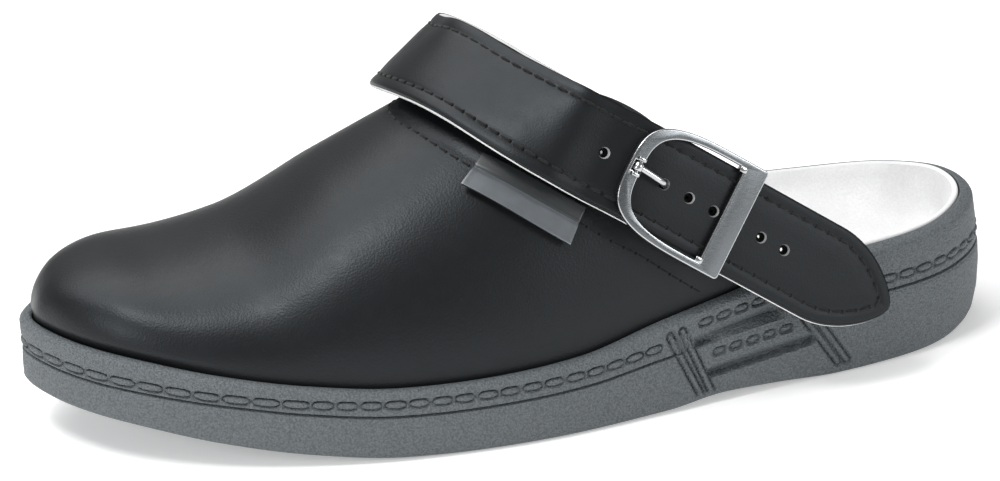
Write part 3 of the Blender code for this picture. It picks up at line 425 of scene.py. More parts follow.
# %% Sizes of the sole
SOLE_LENGTH, BALL_WIDTH, INSTEP_RISE = 290.0 * MM, 109.0 * MM, 82.0 * MM
TOE_SPRING, WAIST_LIFT, BACK_RISE = 13.5 * MM, 2.0 * MM, 3.0 * MM
HEEL_MIDDLE = 0.85
OUTLINE = [  # along, outer, inner
    (0.020, 0.122, 0.164), (0.070, 0.280, 0.334), (0.150, 0.404, 0.450),
    (0.250, 0.486, 0.477), (0.360, 0.531, 0.459), (0.480, 0.532, 0.400),
    (0.600, 0.482, 0.352), (0.720, 0.422, 0.330), (0.840, 0.368, 0.312),
    (0.930, 0.290, 0.262), (0.985, 0.150, 0.145)]
LEVELS = [  # along, share of toe spring, share of waist lift, share of heel height
    (0.00, 1.00, 0.0, 0.00), (0.08, 0.83, 0.0, 0.00), (0.16, 0.53, 0.0, 0.00),
    (0.25, 0.22, 0.0, 0.00), (0.34, 0.03, 0.0, 0.00), (0.42, 0.00, 0.0, 0.02),
    (0.52, 0.00, 0.0, 0.12), (0.61, 0.00, 0.2, 0.45), (0.67, 0.00, 1.0, 0.64),
    (0.73, 0.00, 0.6, 0.82), (0.80, 0.00, 0.0, 1.00), (1.00, 0.00, 0.0, 1.00)]
HEEL_TUCK = [  # share of the rim's height, how far the back leans in (mm)
    (0.00, 6.6), (0.03, 4.9), (0.10, 3.0), (0.25, 1.6), (0.45, 1.1), (0.70, 1.5), (1.00, 3.2)]
SLOTS = [  # along of the front end, along of the back end, heights as shares of the rim
    (0.645, 0.739, 0.67, 0.73), (0.659, 0.766, 0.33, 0.37)]
RIBS = [  # along at the top, along at the foot, height of each end as a share of the rim
    (0.613, 0.646, 0.84, 0.10), (0.627, 0.658, 0.84, 0.10),
    (0.757, 0.797, 0.62, 0.12), (0.767, 0.807, 0.62, 0.12)]
RIM, STEP, WELL_FLOOR = (21.0, 37.6, 1.0), (13.2, 22.7, 0.7), (9.0, 18.0, 0.0)
# Each of these lines: height at the ball and at the heel (mm), share of the back's rise.
EXTRA_SPRING = 1.1             # the ground line springs a tenth more than the other lines
TOE_STEP_DROP = 1.4            # mm that the step runs lower at the toe
STITCH_UP, TOE_STITCH_DROP = 3.8, 1.4  # mm over the step, and less of it at the toe
STITCH_SUNK, WAIST_SUNK = 1.1, 0.45    # mm that the moulded stitches lie in the wall
TREAD_DEPTH, TREAD_HALF = 1.5 * MM, 1.7 * MM
TREAD_BARS = [  # along, half length across as a share of the ball width
    (0.20, 0.36), (0.26, 0.38), (0.32, 0.39), (0.38, 0.39), (0.56, 0.28),
    (0.75, 0.24), (0.90, 0.19), (0.94, 0.15)]
SOLE_STEPS = 420               # points round each side of the sole
STITCH_ZONES = [  # from, to, and the length of one moulded stitch with its gap (mm)
    (0.00, 0.25, 8.2), (0.25, 0.34, 7.6), (0.34, 0.43, 7.0), (0.43, 0.52, 6.4),
    (0.52, 0.606, 5.7), (0.642, 0.76, 5.5), (0.76, 1.00, 6.4)]


def along_of(x):
    return np.clip(np.asarray(x) / SOLE_LENGTH + HEEL_MIDDLE, 0.0, 1.0)


def x_of(along):
    return (np.asarray(along) - HEEL_MIDDLE) * SOLE_LENGTH


def underside(s):
    return EXTRA_SPRING * TOE_SPRING * smooth(LEVELS, 1, s) + WAIST_LIFT * smooth(LEVELS, 2, s)


def level(s, at_ball, at_heel, back_share):
    """A line round the side wall that follows the toe spring and climbs to the heel."""
    back = np.clip((np.asarray(s) - 0.8) / 0.2, 0, 1) ** 2
    return (TOE_SPRING * smooth(LEVELS, 1, s) + BACK_RISE * back_share * back
            + (at_ball + (at_heel - at_ball) * smooth(LEVELS, 3, s)) * MM)


def rim_level(s):
    return level(s, *RIM)


def step_level(s):
    return level(s, *STEP) - TOE_STEP_DROP * MM * (1 - ease(s, 0.05, 0.22))


def floor_level(s):
    return level(s, *WELL_FLOOR)


def waist_share(s):
    """1 in the panel of the waist, between the rib pairs, and 0 elsewhere."""
    return ease(s, 0.615, 0.632) * (1 - ease(s, 0.755, 0.80))


def stitch_level(s):
    """The moulded stitches: over the step, but close under the rim in the waist."""
    swung = ease(s, 0.600, 0.628) * (1 - ease(s, 0.74, 0.82))
    over = (STITCH_UP - TOE_STITCH_DROP * (1 - ease(s, 0.15, 0.36))) * MM
    return (step_level(s) + over) * (1 - swung) + 0.845 * rim_level(s) * swung


def lower_stitch_level(s):
    return np.minimum(0.55 * rim_level(s), step_level(s) - 3 * MM)


def heel_tuck(s, height):
    """How far the back of the heel leans in: most at its foot, least a third of the way up."""
    up = np.clip(height / rim_level(s), 0, 1)
    lean = np.interp(up, [row[0] for row in HEEL_TUCK], [row[1] for row in HEEL_TUCK])
    return np.clip((s - 0.84) / 0.16, 0, 1) ** 2 * lean * MM


def inset(ring, distance):
    """Move a closed ring's points inwards, along its normals."""
    tangent = np.roll(ring, -1, 0) - np.roll(ring, 1, 0)
    tangent /= np.linalg.norm(tangent, axis=1)[:, None]
    inward = np.c_[-tangent[:, 1], tangent[:, 0]]
    if ((ring.mean(0) - ring) * inward).sum() < 0:
        inward = -inward
    return ring + inward * np.reshape(distance, (-1, 1))


def sides_of(ring):
    """Split a ring that starts at the toe into its outer and inner side, toe to heel."""
    half = len(ring) // 2
    return ring[:half + 1], np.vstack([ring[:1], ring[:half - 1:-1]])


def outline_ring(steps, closer=0.0):
    """The sole's outline: toe tip, outer side, heel tip, inner side. Closer adds to the waist."""
    rows = [(0.0, 0.025)] + [(s, -outer) for s, outer, inner in OUTLINE]
    rows += [(1.0, 0.0)] + [(s, inner) for s, outer, inner in OUTLINE[::-1]]
    fine = through([(x_of(s), y * BALL_WIDTH) for s, y in rows], 40, closed=True)
    sides = []
    for side in sides_of(fine):
        length, s = lengths_along(side), along_of(side[:, 0])
        weight = 1 + closer * ease(s, 0.57, 0.61) * (1 - ease(s, 0.81, 0.85))
        budget = np.r_[0, np.cumsum(np.diff(length) * (weight[1:] + weight[:-1]))]
        stops = np.interp(np.linspace(0, budget[-1], steps + 1), budget, length)
        sides.append(np.stack([np.interp(stops, length, side[:, k]) for k in (0, 1)], 1))
    return np.vstack([sides[0], sides[1][-2:0:-1]])


ring = outline_ring(SOLE_STEPS, 1.2)
print(f"sole outline: {len(ring)} points, {lengths_along(ring)[-1] / MM:.0f} mm round")

# %% [markdown]
# ## The sole's relief
#
# The real relief was cut into the mould's wall. Here each point of the wall knows how far
# along its side it is and how high, so each rib, slot and pocket is a distance to a line,
# turned into a soft step. That gives true depth without a single cutter. The rows of the
# grid are packed closely where the stitches and slots need them.

# %% Relief of the side wall
POCKET_DEPTH, POCKET_HALF, POCKET_END = 1.2 * MM, 1.3 * MM, 1.75 * MM
SLOT_DEPTH, SLOT_HALF = 2.9 * MM, 1.75 * MM
RIB_GROOVE_DEPTH, RIB_GROOVE_HALF = 1.1 * MM, 1.35 * MM
RIB_RISE, RIB_HALF = 0.7 * MM, 0.7 * MM
RELIEF_SOFT = 0.5 * MM         # how wide the soft edge of each of them is


def band(distance, half_width, softness):
    """1 on a line, 0 beyond its half width, with a soft edge."""
    return 1 - ease(distance, half_width - softness / 2, half_width + softness / 2)


def side_lengths(ring):
    """For each point of the ring: how far it is from the toe tip along its own side."""
    outer, inner = sides_of(ring)
    a, b = lengths_along(outer), lengths_along(inner)
    return np.r_[a, b[-2:0:-1]]


def line_on_side(ring, side, front, back, low_share, high_share):
    """Two ends of a line, as length from the toe and height."""
    edge = sides_of(ring)[0 if side < 0 else 1]
    length = lengths_along(edge)
    ends = []
    for s, share in ((front, low_share), (back, high_share)):
        ends.append((float(np.interp(x_of(s), edge[:, 0], length)), share * float(rim_level(s))))
    return np.array(ends)


def segment_distance(a, z, ends):
    ab = ends[1] - ends[0]
    t = np.clip(((a - ends[0, 0]) * ab[0] + (z - ends[0, 1]) * ab[1]) / (ab @ ab), 0, 1)
    return np.hypot(a - ends[0, 0] - t * ab[0], z - ends[0, 1] - t * ab[1])


def stitch_run(ring, inside, line, pitch_mm):
    """The part of a stitch line that is inside a range of places, evenly divided."""
    s = along_of(ring[:, 0])
    places = np.flatnonzero(inside(s))
    gap = np.flatnonzero(np.diff(places) > 1)
    if len(gap) == 1 and places[0] == 0:
        places = np.roll(places, -(gap[0] + 1))
    places = np.r_[places, (places[-1] + 1) % len(ring)]
    height = line(s)
    sunk = STITCH_SUNK * MM + WAIST_SUNK * MM * waist_share(s)
    flat = inset(ring, sunk + heel_tuck(s, height))
    path = np.c_[flat, height][places]
    outward = unit_rows(ring - inset(ring, MM))[places]
    length = np.full(len(ring), -1.0)
    total = lengths_along(path)[-1]
    length[places[:-1]] = lengths_along(path)[:-1]
    pitch = total / max(round(total / (pitch_mm * MM)), 1)
    return {"path": path, "outward": np.c_[outward, np.zeros(len(outward))],
            "length": length, "line": line, "pitch": pitch, "total": total}


def unit_rows(vectors):
    return vectors / np.linalg.norm(vectors, axis=1)[:, None]


def pockets(run, s, z):
    """A shallow pocket round each moulded stitch of a run."""
    step = run["length"] % run["pitch"] - run["pitch"] / 2
    straight = run["pitch"] / 2 - POCKET_END
    reach = np.hypot(np.maximum(np.abs(step) - straight, 0), z - run["line"](s))
    return band(reach, POCKET_HALF, RELIEF_SOFT) * (run["length"] >= 0)


def slot(a, z, ends):
    """A scoop that is flush at its upper edge and deepest along its lower one."""
    over = (z - ends[0, 1]) - (a - ends[0, 0]) * (ends[1, 1] - ends[0, 1]) / (ends[1, 0] - ends[0, 0])
    slant = 1 - 0.75 * ease(over, -1.4 * MM, 1.7 * MM)
    return SLOT_DEPTH * band(segment_distance(a, z, ends), SLOT_HALF, RELIEF_SOFT) * slant


def wall_relief(ring, s, a, z):
    """How far the wall is pressed in, in metres. Ribs count as less than nothing."""
    side = np.where(np.arange(len(ring)) <= len(ring) // 2, -1, 1)
    depth = POCKET_DEPTH * np.max([pockets(run, s, z) for run in runs], axis=0)
    for front, back, low, high in SLOTS:
        for way in (-1, 1):
            ends = line_on_side(ring, way, front, back, low, high)
            depth = np.maximum(depth, np.where(side == way, slot(a, z, ends), 0.0))
    for top, foot, high, low in RIBS:
        for way in (-1, 1):
            ends = line_on_side(ring, way, foot, top, low, high)
            away = np.where(side == way, segment_distance(a, z, ends), 1.0)
            depth = np.maximum(depth, RIB_GROOVE_DEPTH * band(away, RIB_GROOVE_HALF, RELIEF_SOFT))
            rib = band(away, RIB_HALF, RELIEF_SOFT)
            depth = depth * (1 - rib) - RIB_RISE * rib
    return depth


STEP_GROOVE = [  # how deep and how far over the step's line (mm)
    (0.3, -0.45), (0.9, -0.3), (1.6, -0.1), (1.6, 0.1), (0.9, 0.25), (0.4, 0.45)]


def sole_rows(s):
    """Heights and insets of the wall's rows, from the ground up to the rim and into the well."""
    low, step, stitch, rim = underside(s), step_level(s), stitch_level(s), rim_level(s)
    lower, waist = lower_stitch_level(s), waist_share(s)
    rows = [(4.5, low), (2.2, low + 0.1 * MM), (1.1, low + 0.5 * MM), (0.5, low + 1.1 * MM),
            (0.2, low + 1.9 * MM)]
    for t in np.linspace(0, 1, 38)[1:]:
        rows.append((0.0, low + 1.9 * MM + (lower - 3.5 * MM - low) * t))
    for t in np.linspace(-1.6, 1.6, 9)[1:]:
        rows.append((0.0, lower + t * MM))
    for t in np.linspace(0, 1, 6)[1:]:
        rows.append((0.25 * (1 - waist) * t, lower + 1.6 * MM + (step - 2.4 * MM - lower) * t))
    for inset_mm, up in STEP_GROOVE:
        rows.append((inset_mm * (1 - waist) + 0.1 * waist, step + up * MM))
    for t in np.linspace(0, 1, 4)[1:]:
        rows.append((0.4, step + 0.5 * MM + (stitch - 2.2 * MM - step) * t))
    for t in np.linspace(-1.7, 1.6, 13)[1:]:
        rows.append((0.35 - 0.08 * t, stitch + t * MM))
    slope = smooth(LEVELS, 3, s) * MM
    top = rim - 1.35 * MM - slope
    for t in np.linspace(0, 1, 5)[1:]:
        rows.append((0.2 - 0.05 * t, stitch + 1.6 * MM + (top - stitch - 1.6 * MM) * t))
    rows += [(0.35, rim - 0.85 * MM - slope), (0.75, rim - 0.4 * MM - 0.97 * slope),
             (1.3, rim - 0.1 * MM - 0.92 * slope), (2.0, rim - 0.75 * slope),
             (2.9, rim - 0.05 * MM - 0.35 * slope), (3.5, rim - 0.25 * MM - 0.05 * slope),
             (3.8, rim - 0.8 * MM + 0.4 * slope)]
    rows += [(3.8, rim - 6 * MM), (3.8, floor_level(s))]
    return rows


s_round = along_of(ring[:, 0])
a_round = side_lengths(ring)
outer_half = np.arange(len(ring)) <= len(ring) // 2
runs = []
for front, back, pitch_mm in STITCH_ZONES:
    for half in ([True] if front == 0 or back == 1 else [outer_half, ~outer_half]):
        runs.append(stitch_run(ring, lambda s: (s >= front) & (s < back) & half
                               | (back == 1) & (s >= front), stitch_level, pitch_mm))
for half in (outer_half, ~outer_half):
    runs.append(stitch_run(ring, lambda s: (s > 0.656) & (s < 0.750) & half, lower_stitch_level, 5.4))
print("stitch runs in mm:", [round(run["total"] / MM) for run in runs])
print("rows up the sole's wall:", len(sole_rows(s_round)))

# %% [markdown]
# ## The sole
#
# The wall's rows are stacked, pressed in by the relief, and closed by two caps that run
# from side to side: the well's floor above, and the tread below, where eight shallow bars
# are pressed in across the walking direction.

# %% Build the sole
def cap_points(ring, columns, height_at):
    """Points between the two sides of a ring, for a cap that is bridged across."""
    count, half = len(ring), len(ring) // 2
    i = np.arange(1, half)
    share = (np.arange(1, columns - 1) / (columns - 1))[None, :, None]
    a, b = ring[i][:, None], ring[(count - i)][:, None]
    flat = a + (b - a) * share
    flat[:, :, 2] = height_at(flat[:, :, 0], flat[:, :, 1], 2 * share[:, :, 0] - 1, flat[:, :, 2])
    return flat.reshape(-1, 3)


def cap_faces(count, first, columns, start):
    """Faces of that cap. The ring starts at first and the inner points at start."""
    half, across = count // 2, columns - 1

    def corner(i, j):
        if i in (0, half) or j == 0:
            return first + i
        if j == across:
            return first + (count - i) % count
        return start + (i - 1) * (across - 1) + j - 1

    faces = []
    for i in range(half):
        for j in range(across):
            face = [corner(i, j), corner(i + 1, j), corner(i + 1, j + 1), corner(i, j + 1)]
            face = [v for k, v in enumerate(face) if v != face[k - 1]]
            if len(face) > 2:
                faces.append(face)
    return faces


def stacked(name, rings, first_cap, last_cap, columns, materials, corner=40):
    """A closed solid from stacked rings, with a bridged cap at each end."""
    count = len(rings[0])
    blocks = [np.vstack(rings)]
    faces = grid_faces(len(rings), count, closed=True)
    start = len(blocks[0])
    for end, first, height_at, across in ((rings[0], 0, first_cap, columns[0]),
                                          (rings[-1], (len(rings) - 1) * count, last_cap, columns[1])):
        inner = cap_points(end, across, height_at)
        faces += cap_faces(count, first, across, start)
        start += len(inner)
        blocks.append(inner)
    return make_mesh(name, np.vstack(blocks), faces, materials, corner=corner)


def tread(x, y, v, z):
    """The flat ground face with its pressed bars."""
    s = along_of(x)
    height = underside(s)
    for along, half in TREAD_BARS:
        shift = 0.02 * BALL_WIDTH * (-1 if along > 0.3 else 1)
        past_end = np.maximum(np.abs(y - shift) - (half * BALL_WIDTH - 1.6 * MM), 0)
        away = np.hypot(past_end, x - x_of(along))
        height = height + TREAD_DEPTH * band(away, TREAD_HALF, 0.8 * MM)
    return height


def build_sole():
    rings = []
    rows = sole_rows(s_round)
    for k, (inset_mm, height) in enumerate(rows):
        press = wall_relief(ring, s_round, a_round, height) if 3 < k < len(rows) - 8 else 0.0
        press = press * ease(height - underside(s_round), 1.5 * MM, 3.0 * MM)
        flat = inset(ring, inset_mm * MM + press + heel_tuck(s_round, height))
        rings.append(np.c_[flat, np.broadcast_to(height, len(flat))])

    def well(x, y, v, z):
        return floor_level(along_of(x))

    return stacked("sole_unit", rings, tread, well, (26, 4), [sole_polyurethane], corner=50)


stands_for(build_sole(), "sole")

# %% [markdown]
# ## Stitches, by Geometry Nodes
#
# A stitch is one small shape that is repeated along a path, so a node tree makes it: the
# path becomes a curve, the curve is cut into even steps, and a bead is laid on each step,
# turned along the path and away from the surface. The path carries the direction that
# faces outwards as an attribute. Start and End say which part of the path gets beads. The
# same tree makes the moulded stitches of the sole, the thread of the upper and strap, and
# the dark beads of painted shade that stand for the needle holes between the stitches.

# %% The tree for beads on a path
PAST_ANY_END = 9.0             # metres, farther than any path is long


def bead_tree():
    tree = bpy.data.node_groups.new("beads on a path", "GeometryNodeTree")
    tree.interface.new_socket("Path", in_out="INPUT", socket_type="NodeSocketGeometry")
    for name, value in (("Pitch", 4 * MM), ("Start", 0.0), ("End", PAST_ANY_END), ("Length", 3 * MM),
                        ("Width", 0.8 * MM), ("Thickness", 0.8 * MM)):
        socket = tree.interface.new_socket(name, in_out="INPUT", socket_type="NodeSocketFloat")
        socket.default_value = value
    tree.interface.new_socket("Finish", in_out="INPUT", socket_type="NodeSocketMaterial")
    tree.interface.new_socket("Beads", in_out="OUTPUT", socket_type="NodeSocketGeometry")
    given = add(tree, "NodeGroupInput").outputs
    curve = add(tree, "GeometryNodeMeshToCurve", inputs={"Mesh": given["Path"]})
    trimmed = add(tree, "GeometryNodeTrimCurve", {"mode": "LENGTH"},
                  {"Curve": curve.outputs["Curve"], 4: given["Start"], 5: given["End"]})
    spaced = add(tree, "GeometryNodeResampleCurve", {"mode": "LENGTH"},
                 {"Curve": trimmed.outputs["Curve"], "Length": given["Pitch"]})
    tangent = add(tree, "GeometryNodeInputTangent").outputs["Tangent"]
    outward = add(tree, "GeometryNodeInputNamedAttribute", {"data_type": "FLOAT_VECTOR"},
                  {"Name": "outward"}).outputs["Attribute"]
    lengthwise = add(tree, "FunctionNodeAlignRotationToVector", {"axis": "X"}, {"Vector": tangent})
    upright = add(tree, "FunctionNodeAlignRotationToVector", {"axis": "Z", "pivot_axis": "X"},
                  {"Rotation": lengthwise.outputs["Rotation"], "Vector": outward})
    bead = add(tree, "GeometryNodeMeshCube", inputs={"Size": (2.0, 2.0, 2.0)})
    rounder = add(tree, "GeometryNodeSubdivisionSurface", inputs={"Mesh": bead.outputs["Mesh"],
                                                                  "Level": 2})
    half = [add(tree, "ShaderNodeMath", {"operation": "MULTIPLY"}, {0: given[k], 1: grow}).outputs[0]
            for k, grow in (("Length", 0.75), ("Width", 0.85), ("Thickness", 0.85))]
    size = add(tree, "ShaderNodeCombineXYZ", inputs={0: half[0], 1: half[1], 2: half[2]})
    shaped = add(tree, "GeometryNodeTransform", inputs={"Geometry": rounder.outputs["Mesh"],
                                                        "Scale": size.outputs["Vector"]})
    laid = add(tree, "GeometryNodeInstanceOnPoints", inputs={
        "Points": spaced.outputs["Curve"], "Instance": shaped.outputs["Geometry"],
        "Rotation": upright.outputs["Rotation"]})
    real = add(tree, "GeometryNodeRealizeInstances", inputs={"Geometry": laid.outputs["Instances"]})
    done = add(tree, "GeometryNodeSetMaterial", inputs={"Geometry": real.outputs["Geometry"],
                                                        "Material": given["Finish"]})
    add(tree, "NodeGroupOutput", inputs={"Beads": done.outputs["Geometry"]})
    return tree


BEADS = bead_tree()


def beads(name, lines, finish, pitch, length, width, thickness, start=0.0, end=PAST_ANY_END):
    """Beads along several lines. Each line is its points and its outward directions."""
    points = np.vstack([line for line, out in lines])
    outward = np.vstack([out for line, out in lines])
    edges, first = [], 0
    for line, out in lines:
        edges += [(first + k, first + k + 1) for k in range(len(line) - 1)]
        first += len(line)
    mesh = bpy.data.meshes.new(name)
    mesh.from_pydata([tuple(p) for p in points], edges, [])
    mesh.attributes.new("outward", "FLOAT_VECTOR", "POINT")
    mesh.attributes["outward"].data.foreach_set("vector", outward.astype(np.float32).ravel())
    thing = bpy.data.objects.new(name, mesh)
    bpy.context.scene.collection.objects.link(thing)
    layer = thing.modifiers.new("beads", 'NODES')
    layer.node_group = BEADS
    wanted = {"Pitch": pitch, "Start": start, "End": end, "Length": length, "Width": width,
              "Thickness": thickness, "Finish": finish}
    for socket in BEADS.interface.items_tree:
        if socket.in_out == "INPUT" and socket.name in wanted:
            layer[socket.identifier] = wanted[socket.name]
    settled(thing)
    thing.data.shade_smooth()
    return thing


def joined(name, things, finish):
    """One mesh, in one finish, from several."""
    points, faces = [], []
    for thing in things:
        faces += [[len(points) + v for v in face.vertices] for face in thing.data.polygons]
        points += [tuple(v.co) for v in thing.data.vertices]
    for thing in things:
        bpy.data.objects.remove(thing, do_unlink=True)
    return make_mesh(name, points, faces, [finish], corner=180)


print("inputs of the bead tree:", [i.name for i in BEADS.interface.items_tree if i.in_out == "INPUT"])

# %% The sole's moulded stitches
sole_stitches = joined("sole_moulded_stitches", [
    beads("zone", [(run["path"], run["outward"])], sole_polyurethane, run["pitch"],
          run["pitch"] - 2.0 * MM, 1.5 * MM, 1.7 * MM, start=run["pitch"] / 2,
          end=run["total"] - run["pitch"] / 2 + 0.02 * MM) for run in runs],
    sole_polyurethane)
print("moulded stitches:", sum(round(run["total"] / run["pitch"]) for run in runs))
stands_for(sole_stitches, None)

# %% [markdown]
# ## The footbed
#
# The footbed is a loose cupped bed of cork and foam under pale leather. Its rim rises
# behind the heel and its middle is dished, so it is a ring of edge points whose upper cap
# sinks towards the middle. It keeps a third of a millimetre clear of the sole's well.

# %% Build the footbed
BED_EDGE, BED_EDGE_BACK = 6.7, 4.2          # mm inside the sole's outline, in front and behind
BED_GAP, BED_EDGE_HIGH, BED_MIDDLE = 0.3 * MM, 7.0 * MM, 5.3 * MM
BED_OVER_RIM = 0.1 * MM                     # behind the heel, over the sole's rim
BED_SLOPE_TOE, BED_SLOPE_HEEL = 26 * MM, 24 * MM
DISH_SQUARENESS, DISH_STEEPNESS = 2.6, 0.75


def build_footbed():
    ring = outline_ring(230)
    s = along_of(ring[:, 0])
    behind = ease(s, 0.745, 0.805)
    edge = (BED_EDGE - (BED_EDGE - BED_EDGE_BACK) * behind) * MM
    floor = floor_level(s) + BED_GAP
    top = floor + BED_EDGE_HIGH
    top = top + (rim_level(s) + BED_OVER_RIM - top) * behind
    toe, heel = ring[:, 0].min(), ring[:, 0].max()

    def dished(x, y, v, z):
        near_toe = np.clip((x - toe) / BED_SLOPE_TOE, 0, 1)
        near_heel = np.clip((heel - x) / BED_SLOPE_HEEL, 0, 1)
        inner = 1 - np.abs(v) ** DISH_SQUARENESS
        inner = inner * (1 - (1 - near_toe) ** 3) * (1 - (1 - near_heel) ** 3)
        middle = floor_level(along_of(x)) + BED_MIDDLE
        return z + (middle - z) * inner ** DISH_STEEPNESS

    steps = [(edge + 1.0 * MM, floor), (edge + 0.3 * MM, floor + 0.3 * MM), (edge, floor + 1.0 * MM),
             (edge, (floor + top) / 2), (edge, top - 0.9 * MM), (edge + 0.15 * MM, top - 0.4 * MM),
             (edge + 0.5 * MM, top - 0.05 * MM), (edge + 0.9 * MM, top),
             (edge + 1.4 * MM, top - 0.15 * MM), (edge + 1.9 * MM, top - 0.5 * MM)]
    tuck = heel_tuck(s, rim_level(s))
    rings = [np.c_[inset(ring, away + tuck), height] for away, height in steps]

    def bottom(x, y, v, z):
        return floor_level(along_of(x)) + BED_GAP

    return stacked("footbed_leather", rings, bottom, dished, (4, 44), [footbed_leather])


stands_for(build_footbed(), "footbed")

# %% [markdown]
# ## The upper
#
# One hide, wetted and pulled over a last, makes the whole upper. Its sections are half
# ovals: s runs back from the toe and u runs round from the outer edge, over the ridge, to
# the inner edge. The topline is turned in and sewn down, which leaves a trough and a soft
# roll behind it. Two faint hollows lie where the leather sinks over the toes, and round
# the toe it swells out a little over the sole's rim.

# %% The upper's surface
UPPER_SECTIONS = [  # along, height, ridge across, roundness
    (0.00, 0.000, 0.045, 2.90), (0.01, 0.108, 0.045, 2.85), (0.03, 0.177, 0.045, 2.70),
    (0.07, 0.226, 0.045, 2.50), (0.12, 0.264, 0.040, 2.40), (0.20, 0.371, 0.035, 2.30),
    (0.30, 0.604, 0.035, 2.20), (0.40, 0.783, 0.045, 2.05), (0.50, 0.930, 0.055, 1.95),
    (0.60, 1.050, 0.045, 1.90), (0.80, 1.200, 0.000, 1.90)]
COLLAR = [  # way round the foot, where the topline is along
    (0.00, 0.735), (0.05, 0.712), (0.10, 0.680), (0.15, 0.635), (0.20, 0.575),
    (0.25, 0.500), (0.30, 0.462), (0.36, 0.434), (0.42, 0.414), (0.50, 0.404)]
WALL = 2.0 * MM
SEAM_BACK = 7.5 * MM           # from the topline to its trough
SEAM_SINK = 0.35 * MM          # depth of the trough and height of the roll behind it
TOE_SWELLING = 1.5 * MM
EDGE_HIDDEN = 6 * MM           # how far the lower edge goes down inside the sole's rim
feather = sides_of(inset(outline_ring(240), 4.2 * MM))


def upper_points(s, u):
    """The upper's outer face: s runs from the toe back, u from the outer edge over the foot."""
    s, u = np.broadcast_arrays(np.asarray(s, float), np.asarray(u, float))
    outer, inner = feather
    toe = outer[0, 0]
    x = toe + s * (x_of(1.0) - toe)
    y_outer = np.interp(x, outer[:, 0], outer[:, 1])
    y_inner = np.interp(x, inner[:, 0], inner[:, 1])
    middle = (y_outer + y_inner) / 2
    ridge = middle + (smooth(UPPER_SECTIONS, 2, s) * BALL_WIDTH - middle) * np.clip(s / 0.06, 0, 1)
    power = 2 / smooth(UPPER_SECTIONS, 3, s)
    cos, sin = np.cos(math.pi * u), np.sin(math.pi * u)
    reach = np.abs(cos) ** power
    y = np.where(cos > 0, ridge + (y_outer - ridge) * reach, ridge + (y_inner - ridge) * reach)
    z = rim_level(along_of(x)) - 1.0 * MM
    z = z + INSTEP_RISE * smooth(UPPER_SECTIONS, 1, s) * np.abs(sin) ** power
    return np.stack([x, y, z], -1)


def upper_normals(s, u):
    here = upper_points(s, u)
    ahead = upper_points(np.asarray(s) + 0.004, u) - here
    round_ = upper_points(s, np.asarray(u) + 0.004) - here
    normal = np.cross(round_, ahead)
    outward = here - np.stack([here[..., 0], np.zeros(here.shape[:-1]), np.full(here.shape[:-1], 0.03)], -1)
    normal = np.where((normal * outward).sum(-1, keepdims=True) > 0, normal, -normal)
    return normal / np.linalg.norm(normal, axis=-1, keepdims=True)


def collar_at(u):
    return smooth(COLLAR, 1, np.minimum(u, 1 - np.asarray(u)))


topline = upper_points(collar_at(np.linspace(0, 1, 241)), np.linspace(0, 1, 241))
print(f"topline: {lengths_along(topline)[-1] / MM:.0f} mm round")

# %% Build the upper
TOE_HOLLOWS = [  # along, way round, depth in mm, half length along
    (0.205, 0.33, 0.45, 0.030), (0.265, 0.62, 0.35, 0.035)]


def upper_relief(points, s, u):
    """Trough at the seam, roll behind it, and the faint hollows over the toes."""
    back = distance_to(topline, points)
    relief = -SEAM_SINK * band(back - SEAM_BACK, 0.0, 1.8 * MM) * band(SEAM_BACK - back, 0.0, 1.8 * MM)
    relief += SEAM_SINK * np.sin(math.pi * np.clip(back / (SEAM_BACK - MM), 0, 1)) * (back < SEAM_BACK)
    for at, way, deep, wide in TOE_HOLLOWS:
        relief += -deep * MM * np.exp(-((s - at) / wide) ** 2 - ((u - way) / 0.16) ** 2)
    return relief


def toe_bulge(points, s):
    """The leather swells out over the sole's rim round the toe."""
    over_rim = points[:, 2] - (rim_level(along_of(points[:, 0])) - MM)
    fades = (1 - ease(over_rim, 12 * MM, 26 * MM)) * (1 - ease(s, 0.06, 0.2))
    return TOE_SWELLING * ease(over_rim, 0, 4.5 * MM) * fades


def build_upper():
    columns, rows = 181, 150
    u = np.linspace(0, 1, columns)
    ahead = np.linspace(0, 1, rows + 1)[1:]
    shares = 0.55 * ahead ** 1.6 + 0.45 * (1 - (1 - ahead) ** 1.5)
    s = shares[:, None] * collar_at(u)[None, :]
    uu = np.broadcast_to(u, s.shape)
    flat = upper_points(s, uu).reshape(-1, 3)
    relief = upper_relief(flat, s.ravel(), uu.ravel()) * ease(shares, 0.02, 0.1).repeat(columns)
    relief += toe_bulge(flat, s.ravel())
    flat = flat + upper_normals(s, uu).reshape(-1, 3) * relief[:, None]
    tip = upper_points(0.0, 0.5)
    points = np.vstack([tip[None], flat])
    faces = [(0, 1 + j, 2 + j) for j in range(columns - 1)] + grid_faces(rows, columns, start=1)
    edge = [1 + i * columns for i in range(rows - 1, -1, -1)] + [0]
    edge += [columns + i * columns for i in range(rows)]
    last = edge
    for drop in (1.5 * MM, EDGE_HIDDEN):
        start = len(points)
        ends = points[edge]
        low = ends.copy()
        low[:, 2] = rim_level(along_of(ends[:, 0])) - MM - (drop - MM)
        points = np.vstack([points, low])
        new = list(range(start, start + len(edge)))
        faces += [(last[k], last[k + 1], new[k + 1], new[k]) for k in range(len(edge) - 1)]
        last = new
    upper = make_mesh("upper_leather", points, faces, [upper_leather, lining], corner=60)
    votes = sum(f.normal.dot(f.center - Vector((tip[0] + 0.05, 0, 0.02))) for f in upper.data.polygons)
    if votes < 0:
        upper.data.flip_normals()
    wall = upper.modifiers.new("wall", 'SOLIDIFY')
    wall.thickness, wall.offset = WALL, -1
    wall.material_offset = 1
    roll = upper.modifiers.new("rolled edge", 'BEVEL')
    roll.width, roll.segments, roll.limit_method = 0.7 * MM, 3, 'ANGLE'
    roll.angle_limit = math.radians(55)
    return settled(upper, 50)


stands_for(build_upper(), "upper")
